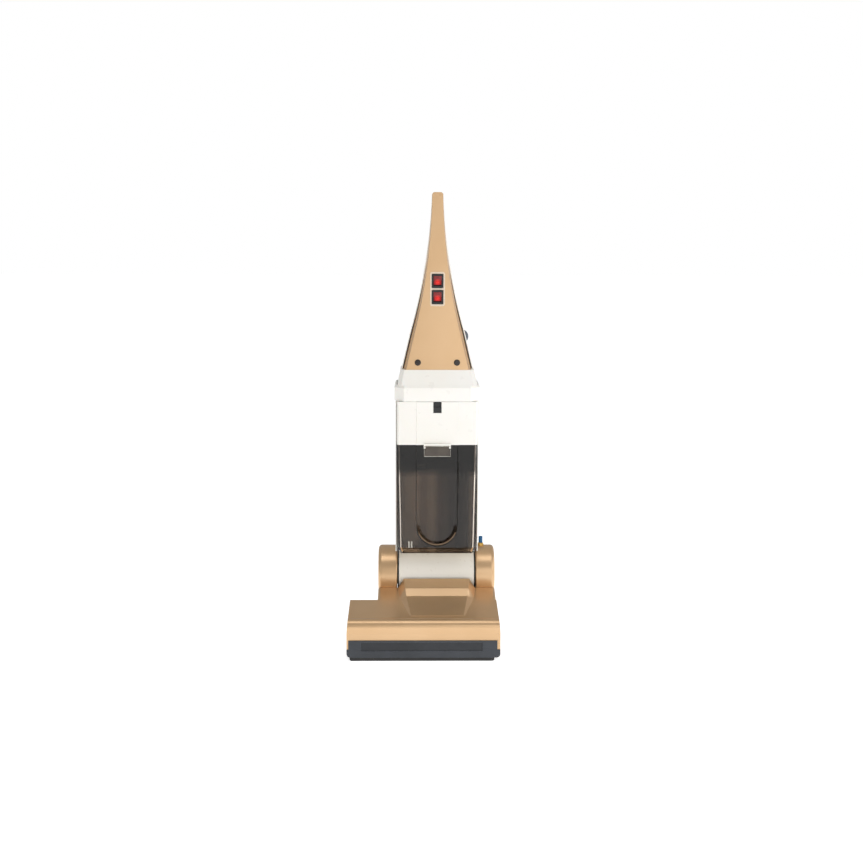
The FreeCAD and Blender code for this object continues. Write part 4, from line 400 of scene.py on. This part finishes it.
# ---- recovery tank and lid -------------------------------------------------------------------------
PANEL_HALF = 0.0505              # half width of the tank's recess and the lid's raised panel
RIM = 0.0010                     # radius of the rim beads round the recess and the clip
RECESS_TOP_DROP = 0.006          # of the recess below the tank's top
RECESS_FOOT_RISE = 0.021         # of the recess above the tank's foot
LEDGE_INSET = 0.0022             # of the ledge inside the rim
LEDGE_ENDS_CUT = 3               # points left off each end of the ledge's arc
SHADE_PLATE_SIDE_GAP = 0.006
SHADE_PLATE_TOP_RISE = 0.001          # of the shade plate into the lid
SHADE_PLATE_DROP = 0.052              # of the arch's feet below the tank's top
SHADE_PLATE_ARCH = 0.012              # rise of the arch
SHADE_PLATE_LEFT_RISE = 0.03          # of the left corner above the arch's feet
SHADE_PLATE_STEP = 0.004              # of the arch's left neighbour above its feet
SHADE_PLATE_SETBACK = 0.0205          # behind the tank's face
SHADE_PLATE_THICKNESS = 0.0015
MARK_X, MARK_Z = 0.0275, 0.016   # first mark's corner from the tank's left foot
MARK_WIDTH, MARK_HEIGHT, MARK_PITCH = 0.0032, 0.015, 0.0065
MARK_PROUD, MARK_SUNK = 0.0003, 0.0004
CLIP_RIM_INSET = 0.0012
CLIP_RIM_SUNK = 0.0001
# painted shade: near-black colour for the bead that outlines the tank's recess, where its edge is in shade
RIM_SHADE = grained("rim_shade_line", rgb(22, 19, 17), rgb(34, 29, 25), 0.2)
PALE_RIM = grained("pale_rim", rgb(170, 164, 152), rgb(188, 182, 170), 0.3)
TAN_RIM = grained("tan_rim", rgb(104, 82, 60), rgb(124, 100, 74), 0.3)


def recess_outline(half, bottom, top):
    """The U of the recess, from its top left round the bottom to its top right."""
    turns = 24
    angles = [math.pi * k / turns for k in range(turns + 1)]
    arc = [(BODY_X - half * math.cos(angle), bottom + half - half * math.sin(angle)) for angle in angles]
    return [(BODY_X - half, top)] + arc + [(BODY_X + half, top)]


def tank_rims():
    """Near-black rim round the recess in the tank's face, painted shade along the recess's edge, with the
    ledge at its foot.
    """
    face = tank_low.y - 0.1 * RIM
    top = tank_high.z - RECESS_TOP_DROP
    bottom = tank_low.z + RECESS_FOOT_RISE
    work = bmesh.new()
    bead(work, [Vector((x, face, z)) for x, z in recess_outline(PANEL_HALF, bottom, top)], RIM)
    piece("recess_shade_rim", mesh_from("recess_shade_rim", work), RIM_SHADE, "tank")
    work = bmesh.new()
    inside = recess_outline(PANEL_HALF - LEDGE_INSET, bottom + LEDGE_INSET, top)[1:-1]
    ledge = [Vector((x, face, z)) for x, z in inside[LEDGE_ENDS_CUT:-LEDGE_ENDS_CUT]]
    bead(work, ledge, 1.6 * RIM)
    piece("recess_ledge", mesh_from("recess_ledge", work), TAN_RIM, "tank")


# The black plate is painted shade: it darkens the top of the tank, where the lid shades it.
def shade_plate():
    """Black plate that hangs from the lid behind the tank's face, arched along its lower edge: painted
    shade under the lid.
    """
    left, right = tank_low.x + SHADE_PLATE_SIDE_GAP, tank_high.x - SHADE_PLATE_SIDE_GAP
    top = lid_low.z + SHADE_PLATE_TOP_RISE
    low = tank_high.z - SHADE_PLATE_DROP
    steps = 20
    arch = []
    for k in range(steps + 1):
        share = k / steps
        x = right + (BODY_X - PANEL_HALF - right) * share
        arch.append((x, low + SHADE_PLATE_ARCH * math.sin(math.pi * share)))
    outline = [(left, top), (left, low + SHADE_PLATE_LEFT_RISE), (BODY_X - PANEL_HALF, low + SHADE_PLATE_STEP)]
    outline += arch[::-1][1:]
    outline += [(right, top)]
    work = bmesh.new()
    y = tank_low.y + SHADE_PLATE_SETBACK
    slab(work, outline[::-1], y, y + SHADE_PLATE_THICKNESS)
    piece("shade_plate", mesh_from("shade_plate", work), BLACK, "tank", smooth=False)


def level_marks():
    """Two short raised marks near the foot of the tank."""
    work = bmesh.new()
    x0 = tank_low.x + MARK_X
    z0 = tank_low.z + MARK_Z
    for k in range(2):
        x = x0 + MARK_PITCH * k
        corners = [(x, z0), (x + MARK_WIDTH, z0), (x + MARK_WIDTH, z0 + MARK_HEIGHT), (x, z0 + MARK_HEIGHT)]
        slab(work, corners, tank_low.y - MARK_PROUD, tank_low.y + MARK_SUNK)
    piece("level_marks", mesh_from("level_marks", work), PALE_RIM, "tank", smooth=False)


def clip_rim():
    """Pale moulded border round the smoked clip."""
    low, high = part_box("lid_clip")
    face = low.y + CLIP_RIM_SUNK
    left, right = low.x + CLIP_RIM_INSET, high.x - CLIP_RIM_INSET
    foot, top = low.z + CLIP_RIM_INSET, high.z - CLIP_RIM_INSET
    corners = [(left, foot), (right, foot), (right, top), (left, top)]
    work = bmesh.new()
    bead(work, [Vector((x, face, z)) for x, z in corners], 0.6 * RIM, closed=True)
    piece("clip_rim", mesh_from("clip_rim", work), PALE_RIM, "clip")


# ---- brush -----------------------------------------------------------------------------------------
TUFT_ROWS = 4
TUFTS_IN_ROW = 34
FILAMENTS = 5                    # in a tuft
BRUSH_TWIST = 0.75               # turns that a row makes along the brush
ROOT_RADIUS = 0.0165             # of the circle that the filaments start on
END_GAP = 0.002                  # from the brush's ends to the first tufts
TUFT_FAN = 0.09                  # angle that a tuft's filaments spread over, in radians
TUFT_STRAY = 0.02                # most that a filament leans off that, in radians
TUFT_SPLAY = 0.0022              # spread of a tuft's tips along the brush
SPLAY_STEP = 2.4                 # angle from one filament's splay to the next, in radians
SHORTEST, LONGEST = 0.95, 0.995  # filaments, as shares of the brush's radius
ROOT_HALF, TIP_HALF = 0.0008, 0.0004


def filament(work, outward, ends):
    """Square tapered rod between two ends, each given as a point and half its diagonal."""
    side = Vector((1, 0, 0))
    other = outward.cross(side)
    rings = [[work.verts.new(end + size * (side * math.cos(a) + other * math.sin(a)))
              for a in (0, math.pi / 2, math.pi, 3 * math.pi / 2)] for end, size in ends]
    for a in range(4):
        b = (a + 1) % 4
        work.faces.new((rings[0][a], rings[0][b], rings[1][b], rings[1][a]))
    work.faces.new(rings[0][::-1])
    work.faces.new(rings[1])


def bristle_tufts():
    """Tufts of tapered filaments in helical rows round the brush's core."""
    low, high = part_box("brush_bristles")
    axis_y, axis_z = (low.y + high.y) / 2, (low.z + high.z) / 2
    tip = (high.z - low.z) / 2
    work = bmesh.new()
    for row in range(TUFT_ROWS):
        for k in range(TUFTS_IN_ROW):
            share = (k + 0.5) / TUFTS_IN_ROW
            x = low.x + END_GAP + (high.x - low.x - 2 * END_GAP) * share
            turn = 2 * math.pi * (row / TUFT_ROWS + BRUSH_TWIST * share)
            for strand in range(FILAMENTS):
                lean = (turn + TUFT_FAN * (strand / (FILAMENTS - 1) - 0.5)
                        + random.uniform(-TUFT_STRAY, TUFT_STRAY))
                away = x + TUFT_SPLAY * math.cos(SPLAY_STEP * strand)
                outward = Vector((0, math.cos(lean), math.sin(lean)))
                length = tip * random.uniform(SHORTEST, LONGEST)
                root_end = Vector((x, axis_y, axis_z)) + outward * ROOT_RADIUS
                tip_end = Vector((away, axis_y, axis_z)) + outward * length
                filament(work, outward, ((root_end, ROOT_HALF), (tip_end, TIP_HALF)))
    tufts = piece("bristle_tufts", mesh_from("bristle_tufts", work), BRISTLE, "brush")
    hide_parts("brush_bristles")


tank_rims()
shade_plate()
level_marks()
clip_rim()
bristle_tufts()


# ---- floor, lights and camera ----------------------------------------------------------------------
ROOM_BRIGHTNESS = 0.4
FLOOR_GLOW = 0.68                # the floor is a light table
FLOOR_HALF = 30.0                # half the floor's width


def floor():
    """Wide pale floor, lit faintly from within."""
    mesh = bpy.data.meshes.new("floor")
    half = FLOOR_HALF
    mesh.from_pydata([(-half, -half, 0), (half, -half, 0), (half, half, 0), (-half, half, 0)], [],
                     [(0, 1, 2, 3)])
    ground = bpy.data.objects.new("floor", mesh)
    bpy.context.scene.collection.objects.link(ground)
    f = Finish("pale_floor", Specular_IOR_Level=0.1, Emission_Color=(1.0, 1.0, 1.0, 1.0),
               Emission_Strength=FLOOR_GLOW)
    f.colour(f.blend(f.ramp(f.noise(3, 3), 0.3, 0.7), rgb(252, 252, 252), rgb(249, 249, 249)))
    f.rough(f.ramp(f.noise(6, 3), 0.3, 0.7, 0.8, 0.9))
    ground.data.materials.append(f.material)


def area_light(name, place, target, size, power, tint=(1.0, 1.0, 1.0)):
    """Rectangular softbox at a place, turned to the target."""
    data = bpy.data.lights.new(name, "AREA")
    data.shape = "RECTANGLE"
    data.size, data.size_y = size
    data.energy = power
    data.color = tint
    light = bpy.data.objects.new(name, data)
    bpy.context.scene.collection.objects.link(light)
    light.location = place
    light.rotation_euler = (Vector(target) - Vector(place)).to_track_quat("-Z", "Y").to_euler()


def surround():
    """A white backdrop seen by the camera, and the dimmer room that lights and mirrors in the machine."""
    world = bpy.data.worlds.new("studio")
    world.use_nodes = True
    tree = world.node_tree
    room = tree.nodes["Background"]
    room.inputs["Color"].default_value = (1.0, 1.0, 1.0, 1.0)
    room.inputs["Strength"].default_value = ROOM_BRIGHTNESS
    backdrop = tree.nodes.new("ShaderNodeBackground")
    backdrop.inputs["Color"].default_value = (1.0, 1.0, 1.0, 1.0)
    backdrop.inputs["Strength"].default_value = 1.0
    either = tree.nodes.new("ShaderNodeMixShader")
    tree.links.new(tree.nodes.new("ShaderNodeLightPath").outputs["Is Camera Ray"], either.inputs[0])
    tree.links.new(room.outputs[0], either.inputs[1])
    tree.links.new(backdrop.outputs[0], either.inputs[2])
    tree.links.new(either.outputs[0], tree.nodes["World Output"].inputs["Surface"])
    bpy.context.scene.world = world


def studio():
    """Key and side light from the right, a broad front box, and weak fill from the left and above."""
    surround()
    bpy.context.scene.view_settings.view_transform = "Standard"
    middle = (BODY_X, 0.0, 0.5)
    area_light("front_box", (0.95, -3.7, 1.15), middle, (1.7, 1.5), 11.0, (1.0, 0.99, 0.975))
    area_light("key_right", (2.1, -2.1, 1.6), middle, (1.0, 1.6), 15.0, (1.0, 0.985, 0.96))
    area_light("side_right", (2.4, 0.3, 0.9), middle, (0.7, 1.8), 9.0)
    area_light("strip_left", (-1.6, -2.4, 1.2), middle, (0.2, 1.6), 2.5)
    area_light("top", (0.0, -0.8, 2.6), (BODY_X, 0.0, 0.0), (1.8, 1.0), 10.0)


SENSOR_WIDTH = 36.0              # mm
CAMERA_DISTANCE = 3.3
CAMERA_HEIGHT = 1.0
CAMERA_AZIMUTH = math.radians(-1.0)
CAMERA_TILT = math.radians(8.19)
CAMERA_ROLL = math.radians(0.2)
FOCAL_WIDTHS = 1.58864           # focal length over the frame's width
BODY_SHIFT = -0.006373           # lens shift that puts the body's axis a little right of the middle


def camera():
    """Camera in front of the machine, tilted down a little."""
    data = bpy.data.cameras.new("camera")
    data.sensor_width = SENSOR_WIDTH
    data.lens = SENSOR_WIDTH * FOCAL_WIDTHS
    data.shift_x = BODY_SHIFT
    eye = bpy.data.objects.new("camera", data)
    bpy.context.scene.collection.objects.link(eye)
    eye.location = (BODY_X + CAMERA_DISTANCE * math.sin(CAMERA_AZIMUTH),
                    -CAMERA_DISTANCE * math.cos(CAMERA_AZIMUTH), CAMERA_HEIGHT)
    turn = Matrix.Rotation(CAMERA_AZIMUTH, 4, "Z") @ Matrix.Rotation(math.pi / 2 - CAMERA_TILT, 4, "X")
    eye.rotation_euler = (turn @ Matrix.Rotation(CAMERA_ROLL, 4, "Z")).to_euler()
    bpy.context.scene.camera = eye


floor()
studio()
camera()
